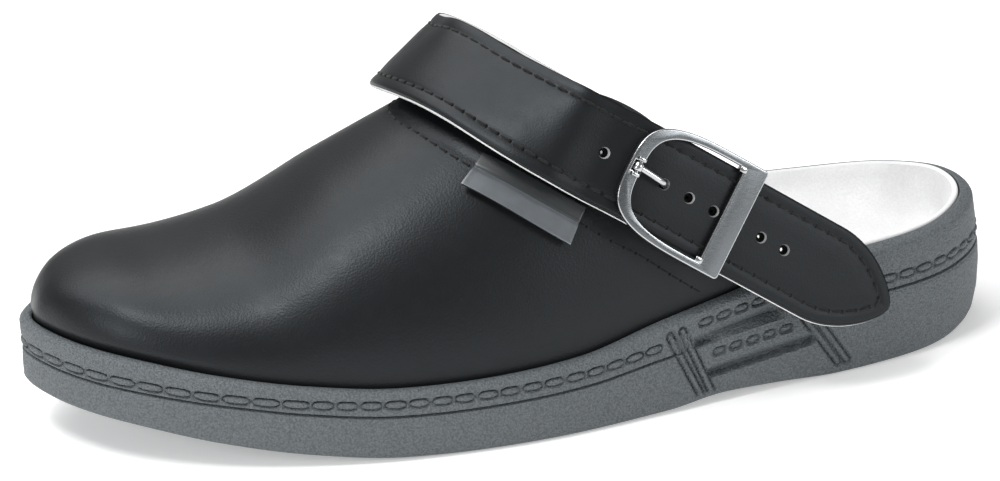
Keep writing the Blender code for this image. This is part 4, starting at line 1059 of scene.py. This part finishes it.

# %% [markdown]
# ## The topline's stitches
#
# The seam runs about eight millimetres in front of the topline over the instep, and turns
# away from it towards the sole at the sides. A short table gives where it lies at each way
# round, and the inner half mirrors the outer. Dark dots between the stitches stand for the
# needle's holes: they are painted shade.

# %% Sew the topline
SEAM = [  # way round, along
    (0.021, 0.642), (0.052, 0.614), (0.088, 0.584), (0.122, 0.554), (0.161, 0.524),
    (0.221, 0.474), (0.288, 0.433), (0.353, 0.406), (0.407, 0.391), (0.472, 0.378), (0.5, 0.377)]
UPPER_PITCH, THREAD = 4.1 * MM, 0.6 * MM
round_way = np.linspace(0.021, 0.979, 241)
seam_s = smooth(SEAM, 1, np.minimum(round_way, 1 - round_way))
seam_line = upper_points(seam_s, round_way)
seam_out = upper_normals(seam_s, round_way)
away = distance_to(topline, seam_line) / MM
print(f"seam to topline: {away.min():.1f} to {away.max():.1f} mm")
sewn = [(seam_line - seam_out * 0.25 * MM, seam_out)]
upper_stitches = beads("upper_stitches", sewn, black_thread, UPPER_PITCH, 2.9 * MM, THREAD, THREAD)
stands_for(upper_stitches, None)
# Dark beads between the stitches: painted shade that stands for the needle's holes.
upper_hole_shade = beads("upper_needle_hole_shade", sewn, painted_hole_shade, UPPER_PITCH, 1.0 * MM, 0.9 * MM, 0.5 * MM,
                    start=UPPER_PITCH / 2)
stands_for(upper_hole_shade, None)

# %% [markdown]
# ## The strap's route
#
# The strap is a flat ribbon that is bent but never stretched. Its route is a row of places
# with the way that its back edge leans there. It starts at the rivet on the inner side,
# goes up and over the instep in one arch, then runs nearly flat under the buckle to its
# tip. The buckle has its own flat axes: down the strap, across it, and out of it.

# %% Strap and buckle places
STRAP_WIDTH, STRAP_THICK, STRAP_TIP, STRAP_REACH = 28.0 * MM, 2.6 * MM, 24.0 * MM, 68.8 * MM
STRAP_ROUTE = [  # along, across, height, then which way the strap's back edge leans
    (0.541, 0.349, 0.841, 0.57, -0.14, 0.81), (0.500, 0.362, 0.945, 0.58, -0.14, 0.80),
    (0.464, 0.349, 1.030, 0.64, -0.11, 0.76), (0.436, 0.298, 1.098, 0.72, -0.03, 0.69),
    (0.418, 0.220, 1.146, 0.78, 0.08, 0.62),
    (0.416, 0.123, 1.178, 0.80, 0.19, 0.57), (0.423, 0.018, 1.203, 0.76, 0.29, 0.59),
    (0.437, -0.073, 1.200, 0.72, 0.42, 0.56), (0.458, -0.176, 1.172, 0.68, 0.51, 0.53),
    (0.480, -0.264, 1.134, 0.64, 0.49, 0.60), (0.502, -0.338, 1.094, 0.59, 0.44, 0.68),
    (0.525, -0.390, 1.049, 0.52, 0.34, 0.76)]
INNER_RIVET, OUTER_RIVET = (0.612, 0.900), (0.594, 0.160)
HOLES = (-29.5, -19.6, -10.5, -1.9, 6.5, 14.8, 23.1, 31.2)    # in mm down the strap
UNDER_BUCKLE = [  # mm down the strap from the buckle's middle, mm below its plane
    (-30, 3.6), (-22, 1.2), (-13, 0.1), (10, 0.0), (45, 0.0)]
BUCKLE_PLACE = (0.6425, -0.4595, 0.776)
BUCKLE_DOWN, BUCKLE_ACROSS = (0.819, -0.061, -0.570), (0.565, 0.257, 0.784)


def place(along, across, height):
    """Shares of length, ball width and instep rise, as a point in metres."""
    return np.array([x_of(along), across * BALL_WIDTH, height * INSTEP_RISE])


down = unit(BUCKLE_DOWN)
across = unit(np.array(BUCKLE_ACROSS) - down * np.dot(BUCKLE_ACROSS, down))
out = np.cross(down, across)
middle = place(*BUCKLE_PLACE)
buckle_matrix = Matrix(((down[0], across[0], out[0], middle[0]), (down[1], across[1], out[1], middle[1]),
                        (down[2], across[2], out[2], middle[2]), (0, 0, 0, 1)))


def on_buckle(d, a, o):
    return middle + down * d + across * a + out * o


def strap_route():
    normal = upper_normals(*INNER_RIVET)
    seat = upper_points(*INNER_RIVET) + normal * (0.5 * MM + STRAP_THICK)
    back = unit(np.cross(np.cross(normal, (0.82, 0.0, -0.57)), normal))
    lean = unit(np.cross(back, normal))
    lean = lean if lean[2] > 0 else -lean
    route = [(seat + back * 13.5 * MM, lean), (seat, lean), (seat - back * 11 * MM, lean)]
    route += [(place(*row[:3]), unit(row[3:])) for row in STRAP_ROUTE]
    for reach, sunk in UNDER_BUCKLE:
        route.append((middle + (down * reach - out * sunk) * MM, across))
    route.append((middle + down * STRAP_REACH, across))
    both = through([np.r_[c, l * MM] for c, l in route], 12)
    return both[:, :3], unit_rows(both[:, 3:])


strap_centre, strap_lean = strap_route()
strap_long = lengths_along(strap_centre)
print(f"strap: {strap_long[-1] / MM:.0f} mm from its round end to its tip")

# %% [markdown]
# ## A leather ribbon
#
# Each cross-section of the ribbon is a closed loop: the grain side, one cut edge, the flesh
# side, the other cut edge. The grain side is pressed down at the stitches and rounded at
# its edges by how far each point is from the strap's outline, measured on the flat strap.
# The knife leaves the lower cut edge bulging a little. The edges show the pale core, so
# those faces take another material.

# %% Ribbon builder
CUT_EDGE = ((0.08, 0.0), (0.3, 0.55), (0.52, 0.8), (0.94, 0.45))  # share of thickness, bulge in mm
TOP_BULGE = 0.1                # share of that bulge on the ribbon's upper edge
EDGE_DROP, EDGE_ROUND = 0.35 * MM, 0.9 * MM
GROOVE_DEPTH, PADDING = 0.28 * MM, 0.18 * MM  # at the seam, and inside it


def leather_ribbon(name, centre, lean, half, thick, columns, finishes, groove_at=None, outline=None):
    """centre and lean are one row a section, on the grain side; half is its half width."""
    along = lengths_along(centre)
    forward = unit_rows(np.gradient(centre, axis=0))
    lean = unit_rows(lean - forward * (lean * forward).sum(1)[:, None])
    up = np.cross(forward, lean)
    shares = np.sin(np.linspace(-1, 1, columns) * math.pi / 2) * 0.35 + np.linspace(-1, 1, columns) * 0.65
    flat = np.stack([np.repeat(along, columns), (half[:, None] * shares[None]).ravel()], 1)
    edge = (half[:, None] * (1 - abs(shares))).ravel() if outline is None else distance_to(outline, flat)
    drop = EDGE_DROP * (1 - np.clip(edge / EDGE_ROUND, 0, 1)) ** 2
    if groove_at:
        drop += GROOVE_DEPTH * (1 - ease(abs(edge - groove_at), 0.2 * MM, 1.1 * MM))
        drop -= PADDING * ease(edge, groove_at, groove_at + 5 * MM)
    drop = drop.reshape(len(along), columns)
    top = centre[:, None] + lean[:, None] * (half[:, None] * shares)[..., None]
    top = top - up[:, None] * drop[..., None]

    def side(way):
        swell = MM * (1 if way < 0 else TOP_BULGE)
        return np.stack([centre + lean * (way * (half + bulge * swell))[:, None]
                         - up * (thick * share) for share, bulge in CUT_EDGE], 1)

    under = centre[:, None] + lean[:, None] * (half[:, None] * shares[::-1] * 0.99)[..., None] \
        - up[:, None] * thick
    loops = np.concatenate([top, side(1), under, side(-1)[:, ::-1]], 1)
    rows, around = loops.shape[:2]
    faces = grid_faces(rows, around, closed=True)
    pale = {before + k for before in (columns, 2 * columns + 2) for k in (1, 2, 3)}
    indices = [1 if k % around in pale else 0 for k in range(len(faces))]
    faces += [list(range(around)), list(range((rows - 1) * around, rows * around))]
    indices += [1, 1]
    return make_mesh(name, loops.reshape(-1, 3), faces, finishes, indices, corner=50)


def at_length(stops, table):
    return np.stack([np.interp(stops, strap_long, table[:, k]) for k in range(3)], 1)


def strap_half(stops):
    """Half the strap's width: round at the rivet, a pointed arch at the tip."""
    total, end = strap_long[-1], STRAP_WIDTH / 2
    rounded = np.clip(stops / end, 0, 1)
    half = end * np.sqrt(np.clip(1 - (1 - rounded) ** 2, 0.0006, 1))
    tip = np.clip((total - stops) / STRAP_TIP, 0, 1)
    return half * np.maximum(np.sin(math.pi / 2 * tip) ** 0.65, 0.02)


total, end = strap_long[-1], STRAP_WIDTH / 2
STRAP_SEAM = 3.6 * MM          # from the strap's edge to its stitches
stops = list(end * (1 - np.cos(np.linspace(0, math.pi / 2, 16))))
stops += list(np.linspace(end, total - STRAP_TIP, 150)[1:-1])
stops += list(total - STRAP_TIP * np.cos(np.linspace(0, math.pi / 2, 30)) ** 1.3)
stops = np.array(stops)
half = strap_half(stops)
strap_outline = np.vstack([np.c_[stops, -half], np.c_[stops, half][::-1]])
strap_outline = np.vstack([strap_outline, strap_outline[:1]])
heel_strap = leather_ribbon("heel_strap_leather", at_length(stops, strap_centre),
                            at_length(stops, strap_lean), half, STRAP_THICK, 37,
                            [strap_leather, raw_edge], STRAP_SEAM, strap_outline)
print("strap sections:", len(stops))

# %% [markdown]
# ## Punched holes
#
# The holes are punched through both layers, so their walls show the core, painted grey as
# painted shade. Each punch is a turned shape: it flares at the surface, and its deep part
# is narrow and painted dark as painted shade, as a hole that lies on another layer looks.
# A Boolean modifier with the exact solver cuts them, and passes on the punch's own finishes
# to the walls that it makes. The punches are deleted once the cut is applied.

# %% Punch the strap
def turned(name, profile, sides, start, axis, finishes, corner=40, painted_shade_bands=0):
    """A profile of radius and height, turned about an axis. Its first bands may take a second finish of
    painted shade.
    """
    axis = Vector(axis).normalized()
    first = axis.orthogonal().normalized()
    second = axis.cross(first)
    points = []
    for radius, height in profile:
        for k in range(sides):
            angle = 2 * math.pi * k / sides
            points.append(Vector(start) + axis * height
                          + (first * math.cos(angle) + second * math.sin(angle)) * radius)
    faces = grid_faces(len(profile), sides, closed=True)
    faces += [range(sides), range((len(profile) - 1) * sides, len(profile) * sides)]
    indices = [int(k < painted_shade_bands * sides) for k in range(len(faces))]
    return make_mesh(name, points, faces, finishes, indices, corner=corner)


def cut(thing, tools, how='DIFFERENCE', corner=50):
    for tool in tools:
        step = thing.modifiers.new(tool.name, 'BOOLEAN')
        step.operation, step.solver, step.object = how, 'EXACT', tool
        step.material_mode = 'TRANSFER'
    settled(thing, corner)
    for tool in tools:
        bpy.data.objects.remove(tool, do_unlink=True)
    return thing


HOLE = [  # the punch's radius, and its height over the strap's surface (mm)
    (0.5, -12), (0.55, -1.75), (1.38, -1.55), (1.42, -0.75), (1.5, -0.35), (1.68, -0.02), (1.75, 3)]
# The punch's first bands take the near black finish: painted shade in the hole's deep part.
HOLE_SHADE_BANDS = 3


def on_strap(down):
    """The strap's surface at a hole: it bends away from the buckle's plane."""
    place, axis = np.array(on_buckle(down, 0, 0)), np.array(out)
    near = strap_centre[np.argmin(np.linalg.norm(strap_centre - place, axis=1))]
    return place + axis * float((near - place) @ axis)


punches = [turned(f"punch_{k}", [(r * MM, z * MM) for r, z in HOLE], 24, on_strap(hole * MM), out,
                  [painted_shade_hole_wall, painted_hole_shade], painted_shade_bands=HOLE_SHADE_BANDS) for k, hole in enumerate(HOLES)]
cut(heel_strap, punches)
stands_for(heel_strap, "heel_strap")

# %% [markdown]
# ## The strap's stitches
#
# The strap's two layers are sewn together 3.6 mm in from the edge, all the way round. The
# path is the flat outline moved inwards, and each of its points is then looked up on the
# bent strap. Points near the tip that would cross over are left out.

# %% Sew the strap
def strap_seam():
    flat = inset(respaced(strap_outline, 500)[:-1], STRAP_SEAM)
    keep = distance_to(strap_outline, flat) > STRAP_SEAM - 0.15 * MM
    flat = flat[keep]
    first = int(np.argmin(flat[:, 0]))
    flat = np.roll(flat, -first, 0)
    flat = np.vstack([flat, flat[:1]])
    flat = respaced(flat, 400)
    centre, lean = at_length(flat[:, 0], strap_centre), unit_rows(at_length(flat[:, 0], strap_lean))
    forward = unit_rows(at_length(flat[:, 0] + 0.5 * MM, strap_centre) - centre + 1e-9)
    up = unit_rows(np.cross(forward, lean))
    up[np.abs(flat[:, 0] - total) < MM] = out
    return centre + lean * flat[:, 1:2] - up * 0.2 * MM, up


STRAP_PITCH = 4.3 * MM
strap_line = [strap_seam()]
strap_stitches = beads("strap_stitches", strap_line, black_thread, STRAP_PITCH, 3.1 * MM, THREAD, THREAD)
stands_for(strap_stitches, None)
# Dark beads between the stitches: painted shade that stands for the needle's holes.
strap_hole_shade = beads("strap_needle_hole_shade", strap_line, painted_hole_shade, STRAP_PITCH, 0.8 * MM, 0.75 * MM,
                    0.5 * MM, start=STRAP_PITCH / 2)
stands_for(strap_hole_shade, None)

# %% [markdown]
# ## The buckle
#
# The buckle is cast, so its frame is one flat plate with bevelled edges: an arc in front,
# two narrow rails and a wide bar. The arc is a superellipse, which is squarer than a
# circle. It is drawn in the buckle's own flat axes and then put in place on its mesh.

# %% Buckle frame
FRAME_FRONT, FRAME_HALF, ARC_BAND, RAIL_BAND = -23.4 * MM, 17.0 * MM, 4.0 * MM, 2.2 * MM
BAR_FRONT, BAR_BACK = 8.4 * MM, 15.6 * MM
FRAME_LOW, FRAME_HIGH = 0.3 * MM, 2.5 * MM
PIN_DOWN, PIN_OUT, PIN_RADIUS, PRONG_SIDE = -20.5 * MM, 2.2 * MM, 0.6 * MM, 0.6 * MM
KNUCKLE, PRONG_RADIUS = 1.45 * MM, 0.98 * MM
UNDER_BAR = (12.0 * MM, -5.7 * MM, 1.0 * MM)  # how far down, how far out, radius
ARC_SQUARENESS = 3.5           # 2 would be an ellipse


def arc(front, half_width, back, steps=72):
    points = []
    for k in range(steps + 1):
        angle = -math.pi / 2 + math.pi * k / steps
        sin, cos = math.sin(angle), math.cos(angle)
        power = 2 / ARC_SQUARENESS
        points.append((back + (front - back) * abs(cos) ** power,
                       half_width * math.copysign(abs(sin) ** power, sin)))
    return points


def plate(name, outline, low, high, finishes=()):
    """A flat outline made solid between two levels."""
    count = len(outline)
    points = [(x, y, low) for x, y in outline] + [(x, y, high) for x, y in outline]
    faces = [range(count), range(count, 2 * count)]
    faces += [(i, (i + 1) % count, count + (i + 1) % count, count + i) for i in range(count)]
    return make_mesh(name, points, faces, finishes)


def block(name, d0, d1, a0, a1, low, high):
    return plate(name, [(d0, a0), (d1, a0), (d1, a1), (d0, a1)], low, high, [bright_nickel])


def placed(thing):
    """Move a mesh that was drawn in the buckle's flat axes onto the strap."""
    thing.data.transform(buckle_matrix)
    return thing


def bevelled(thing, width, segments=3):
    edge = thing.modifiers.new("polished edge", 'BEVEL')
    edge.width, edge.segments, edge.limit_method = width, segments, 'ANGLE'
    edge.angle_limit, edge.material = math.radians(50), 1
    return settled(thing, 45)


def build_buckle():
    corner = 1.2 * MM
    outer = [(BAR_BACK, corner - FRAME_HALF)]
    outer += [(BAR_BACK - corner * (1 - math.cos(t)), -FRAME_HALF + corner * (1 - math.sin(t)))
              for t in np.linspace(0, math.pi / 2, 7)[1:]]
    outer += arc(FRAME_FRONT, FRAME_HALF, BAR_FRONT)
    outer += [(d, -a) for d, a in outer[6::-1]]
    frame_plate = plate("buckle_frame_metal", outer, FRAME_LOW, FRAME_HIGH, [shade_painted_satin_nickel, bright_nickel])
    inner = arc(FRAME_FRONT + ARC_BAND, FRAME_HALF - RAIL_BAND, BAR_FRONT)
    window = plate("window", inner, FRAME_LOW - 2 * MM, FRAME_HIGH + 2 * MM, [shade_painted_satin_nickel])
    neck = block("neck", PIN_DOWN - KNUCKLE - FRAME_LOW, FRAME_FRONT + ARC_BAND + 2 * MM,
                 PRONG_SIDE - 1.5 * MM, PRONG_SIDE + 1.5 * MM, -MM, 4 * MM)
    cut(frame_plate, [window, neck])
    bevelled(frame_plate, 0.65 * MM)
    adds = []
    for i, centre in enumerate((PRONG_SIDE - 2.3 * MM, PRONG_SIDE + 2.3 * MM)):
        lug = block(f"lug_{i}", PIN_DOWN - 1.3 * MM, PIN_DOWN + 1.1 * MM,
                    centre - 0.6 * MM, centre + 0.6 * MM, 0.7 * MM, 3.4 * MM)
        adds.append(bevelled(lug, 0.35 * MM))
    adds.append(turned("pin", [(PIN_RADIUS, -2.5 * MM), (PIN_RADIUS, 2.5 * MM)], 24,
                       (PIN_DOWN, PRONG_SIDE, PIN_OUT), (0, 1, 0), [bright_nickel]))
    bar_down, bar_out, bar_radius = UNDER_BAR
    for i, side in enumerate((-1, 1)):
        near, far = sorted((side * 14.5 * MM, side * (FRAME_HALF - 0.3 * MM)))
        post = block(f"post_{i}", bar_down - 2 * MM, bar_down + 2 * MM, near, far,
                     bar_out - 1.3 * MM, FRAME_LOW + 0.8 * MM)
        adds.append(bevelled(post, 0.4 * MM))
        stop = block(f"stop_{i}", BAR_FRONT - 1.4 * MM, BAR_FRONT + 0.9 * MM, side * 14.2 * MM - 0.9 * MM,
                     side * 14.2 * MM + 0.9 * MM, FRAME_LOW + 0.5 * MM, FRAME_HIGH + 0.25 * MM)
        adds.append(bevelled(stop, 0.35 * MM))
    adds.append(turned("under_bar", [(bar_radius, -15.4 * MM), (bar_radius, 15.4 * MM)], 24,
                       (bar_down, 0, bar_out), (0, 1, 0), [bright_nickel]))
    return placed(cut(frame_plate, adds, 'UNION', 40))


stands_for(build_buckle(), "buckle_frame")

# %% [markdown]
# ## Prong, rivets and the short strap
#
# The prong is a wire, bent down into the third hole, with a knuckle that turns on the pin.
# The rivets are turned shapes. The short strap comes from the outer rivet, goes round the
# under bar and lies back on itself, and the ribbon builder makes it from its path.

# %% Build the prong
def wire(name, path, radius, sides, finishes):
    path = np.asarray(path)
    tangents = unit_rows(np.gradient(path, axis=0))
    side = Vector(tangents[0]).orthogonal().normalized()
    points = []
    for centre, tangent in zip(path, tangents):
        tangent = Vector(tangent)
        side = (side - tangent * side.dot(tangent)).normalized()
        other = tangent.cross(side)
        for k in range(sides):
            angle = 2 * math.pi * k / sides
            points.append(Vector(centre) + (side * math.cos(angle) + other * math.sin(angle)) * radius)
    faces = grid_faces(len(path), sides, closed=True)
    faces += [range(sides), range((len(path) - 1) * sides, len(path) * sides)]
    return make_mesh(name, points, faces, finishes)


hole = HOLES[2] * MM
prong_path = through([(PIN_DOWN + 1.1 * MM, PRONG_SIDE, PIN_OUT + 0.1 * MM),
                      (PIN_DOWN + 5.0 * MM, PRONG_SIDE * 0.6, PIN_OUT + 0.1 * MM),
                      (hole - 1.4 * MM, PRONG_SIDE * 0.1, PIN_OUT - 0.3 * MM),
                      (hole - 0.1 * MM, 0.0, PIN_OUT - 1.7 * MM),
                      (hole + 0.1 * MM, 0.0, -STRAP_THICK + 0.5 * MM)], 9)
prong = wire("buckle_prong_wire", prong_path, PRONG_RADIUS, 24, [bright_nickel])
knuckle = turned("knuckle", [(1.2 * MM, -1.2 * MM), (KNUCKLE, -0.95 * MM), (KNUCKLE, 0.95 * MM),
                             (1.2 * MM, 1.2 * MM)], 32, (PIN_DOWN, PRONG_SIDE, PIN_OUT), (0, 1, 0),
                 [bright_nickel])
cut(prong, [knuckle], 'UNION')
eye = turned("eye", [(PIN_RADIUS + 0.25 * MM, -3 * MM), (PIN_RADIUS + 0.25 * MM, 3 * MM)], 24,
             (PIN_DOWN, PRONG_SIDE, PIN_OUT), (0, 1, 0), [bright_nickel])
placed(cut(prong, [eye]))
stands_for(prong, "buckle_prong")


# %% Build the rivets
HEAD, SHANK = 3.6 * MM, 1.5 * MM


def rivet(name, where, stack):
    """A shank through the wall with a flat head inside and a domed one outside."""
    normal, start = upper_normals(*where), upper_points(*where)
    inside, outside = -WALL - 0.45 * MM, stack + 0.35 * MM
    profile = [(0.3 * MM, inside - 0.95 * MM), (HEAD * 0.7, inside - 0.9 * MM),
               (HEAD * 0.95, inside - 0.65 * MM), (HEAD, inside - 0.3 * MM), (HEAD * 0.9, inside),
               (SHANK, inside), (SHANK, outside), (HEAD * 0.95, outside),
               (HEAD, outside + 0.2 * MM), (HEAD * 0.94, outside + 0.55 * MM),
               (HEAD * 0.7, outside + 0.88 * MM), (HEAD * 0.35, outside + 1.0 * MM),
               (0.3 * MM, outside + 1.02 * MM)]
    return stands_for(turned(name + "_metal", profile, 48, start, normal, [bright_nickel]), name)


rivet("inner_rivet", INNER_RIVET, 0.5 * MM + STRAP_THICK)
rivet("outer_rivet", OUTER_RIVET, 1.9 * MM)


# %% Build the short strap
SHORT_THICK, SHORT_HALF = 1.5 * MM, 10.0 * MM


def short_strap():
    thick = SHORT_THICK
    normal = upper_normals(*OUTER_RIVET)
    local = upper_points(*OUTER_RIVET) + normal * (0.4 * MM + thick / 2) - middle
    seat_down, seat_out = float(local @ down), float(local @ out)
    bar_down, bar_out, bar_radius = UNDER_BAR
    loop = bar_radius + 0.3 * MM + thick / 2
    tilt = float(normal @ down) / float(normal @ out)
    path = through([(seat_down - 9 * MM, seat_out + tilt * 9 * MM), (seat_down, seat_out),
                    (seat_down + 6 * MM, seat_out - tilt * 6 * MM + 0.3 * MM),
                    (bar_down - 9 * MM, bar_out - 0.5 * loop), (bar_down, bar_out - loop)], 9)
    turn = [(bar_down + loop * math.sin(a), bar_out - loop * math.cos(a))
            for a in np.linspace(0, math.pi, 25)[1:]]
    tail = [(bar_down - 4 * MM, bar_out + loop), (bar_down - 8 * MM, bar_out + loop - 0.2 * MM)]
    path = np.vstack([path, turn, tail])
    forward = unit_rows(np.gradient(path, axis=0))
    outer = path + np.c_[forward[:, 1], -forward[:, 0]] * thick / 2
    centre = np.array([on_buckle(d, 0.0, o) for d, o in outer])
    lean = np.broadcast_to(-across, centre.shape)
    return leather_ribbon("buckle_strap_leather", centre, lean, np.full(len(centre), SHORT_HALF), thick,
                          15, [strap_leather, raw_edge])


stands_for(short_strap(), "buckle_strap")

# %% [markdown]
# ## The tag
#
# A small vinyl label is folded over the seam: its upper half lies on the leather and its
# lower half stands off a little and is painted paler, which is painted light. It is left
# bare, with a raised border that the press leaves round it.

# %% Build the tag
TAG_LINES = [  # along and way round at the front, then at the back, distance off the upper
    (0.444, 0.305, 0.533, 0.174, 0.4), (0.432, 0.291, 0.523, 0.160, 0.5),
    (0.416, 0.271, 0.509, 0.141, 2.6)]
TAG_THICK = 1.0 * MM
TAG_WIDE, TAG_HALF_HIGH = 33.0, 6.7  # mm
TAG_BORDER, TAG_BOW = 0.18 * MM, 0.006


def build_tag():
    columns, per_half = 49, 13
    lines = []
    for k in range(2 * per_half - 1):
        t = k / (per_half - 1)
        i = min(int(t), 1)
        a, b = TAG_LINES[i], TAG_LINES[i + 1]
        lines.append([a[j] + (b[j] - a[j]) * (t - i) for j in range(5)])
    share = np.linspace(0, 1, columns)
    outer, inner = [], []
    for k, (front_s, front_u, back_s, back_u, off) in enumerate(lines):
        s = front_s + (back_s - front_s) * share
        u = front_u + (back_u - front_u) * share - TAG_BOW * 4 * share * (1 - share)
        point, normal = upper_points(s, u), upper_normals(s, u)
        t = abs(k / (per_half - 1) - 1.0)
        fold = 0.35 * MM * math.exp(-(t / 0.08) ** 2)
        half_up = k / (per_half - 1)
        edge_mm = np.minimum(np.minimum(share, 1 - share) * TAG_WIDE,
                             (2 - half_up if half_up > 1 else 9.0) * TAG_HALF_HIGH)
        border = TAG_BORDER * (1 - ease(edge_mm, 0.9, 1.3)) * (1.0 if half_up > 1.05 else 0.0)
        inner.append(point + normal * off * MM)
        outer.append(point + normal * (off * MM + TAG_THICK - fold + border)[:, None])
    rows = len(lines)
    count = rows * columns
    faces = grid_faces(rows, columns) + grid_faces(rows, columns, start=count)
    rim = list(range(columns)) + [(i + 1) * columns - 1 for i in range(1, rows)]
    rim += list(range(count - 2, count - columns - 1, -1)) + [i * columns for i in range(rows - 2, 0, -1)]
    faces += [(a, rim[(k + 1) % len(rim)], rim[(k + 1) % len(rim)] + count, a + count)
              for k, a in enumerate(rim)]
    # The lower half takes the paler vinyl: painted light.
    lower_half = (per_half - 1) * (columns - 1)
    indices = [int(lower_half <= k < 2 * lower_half) for k in range(len(faces))]
    tag = make_mesh("tag_label", [p for row in outer + inner for p in row], faces,
                    [label_vinyl, label_vinyl_painted_light], indices)
    edge = tag.modifiers.new("soft edge", 'BEVEL')
    edge.width, edge.segments, edge.limit_method = 0.22 * MM, 2, 'ANGLE'
    edge.angle_limit = math.radians(55)
    return settled(tag, 40)


stands_for(build_tag(), "tag")

# %% [markdown]
# ## Floor, camera and light
#
# The floor is a plain sheet of white acrylic, lit a little from below, as product tables
# are, which keeps the shadow under the shoe soft. The camera has a long lens and looks
# down a little from the outer side, so the shoe is hardly foreshortened. The light is that
# of a product studio: a wide soft box above and behind, a small one whose gleam falls on
# the front of the toe, two weak ones low at the toe and the heel, and a pale sky.

# %% Floor
def build_floor():
    mesh = bpy.data.meshes.new("floor")
    mesh.from_pydata([(-4, -4, 0), (4, -4, 0), (4, 4, 0), (-4, 4, 0)], [], [(0, 1, 2, 3)])
    made, tree, shader, mm = new_material("lit_white_acrylic_table", roughness=0.8, emission_strength=0.3)
    shader.inputs["Base Color"].default_value = linear("#f4f4f4")
    shader.inputs["Emission Color"].default_value = (1, 1, 1, 1)
    mesh.materials.append(made)
    thing = bpy.data.objects.new("floor", mesh)
    bpy.context.scene.collection.objects.link(thing)
    return thing


build_floor()
print("floor 8 m square")

# %% Camera
CAMERA_TURN, CAMERA_RISE, CAMERA_ROLL = math.radians(-13.56), math.radians(21.81), math.radians(-2.6)
CAMERA_AWAY, CAMERA_LENS = 1.0475, 127.008
aim = Vector((-0.1020, 0.0114, 0.0344))
turn, rise = CAMERA_TURN, CAMERA_RISE
back = Vector((math.sin(turn) * math.cos(rise), -math.cos(turn) * math.cos(rise), math.sin(rise)))
right = Vector((math.cos(turn), math.sin(turn), 0))
above = back.cross(right)
rolled_right = right * math.cos(CAMERA_ROLL) + above * math.sin(CAMERA_ROLL)
rolled_above = above * math.cos(CAMERA_ROLL) - right * math.sin(CAMERA_ROLL)
spot = aim + back * CAMERA_AWAY
camera_data = bpy.data.cameras.new("camera")
camera_data.lens, camera_data.sensor_width = CAMERA_LENS, 36
camera_data.clip_start, camera_data.clip_end = 0.05, 20
camera = bpy.data.objects.new("camera", camera_data)
bpy.context.scene.collection.objects.link(camera)
turned_to = Matrix((rolled_right, rolled_above, back)).transposed().to_4x4()
camera.matrix_world = Matrix.Translation(spot) @ turned_to
bpy.context.scene.camera = camera
print("camera at", [round(v, 3) for v in spot])


# %% Lights
def soft_box(name, place_at, size, power, aim_at=(-0.1, 0.0, 0.03)):
    data = bpy.data.lights.new(name, 'AREA')
    data.shape, data.size, data.size_y, data.energy = 'RECTANGLE', size[0], size[1], power
    lamp = bpy.data.objects.new(name, data)
    lamp.location = place_at
    lamp.rotation_euler = (Vector(aim_at) - Vector(place_at)).to_track_quat("-Z", "Y").to_euler()
    bpy.context.scene.collection.objects.link(lamp)
    return lamp


soft_box("overhead", (-0.4, 0.38, 1.15), (1.4, 1.0), 13.5)
soft_box("toe_side", (-1.0, -0.5, 0.45), (0.4, 0.4), 3)
soft_box("toe_shine", (-0.59, -0.31, 1.04), (0.26, 0.26), 5.5, (-0.21, -0.03, 0.04))
soft_box("heel_fill", (0.8, -1.1, 0.5), (0.5, 0.5), 5)
world = bpy.data.worlds.new("studio")
world.use_nodes = True
world.node_tree.nodes["Background"].inputs["Color"].default_value = (1, 1, 1, 1)
world.node_tree.nodes["Background"].inputs["Strength"].default_value = 0.35
bpy.context.scene.world = world
bpy.context.scene.view_settings.view_transform = 'Standard'
print("four soft boxes and a pale sky")
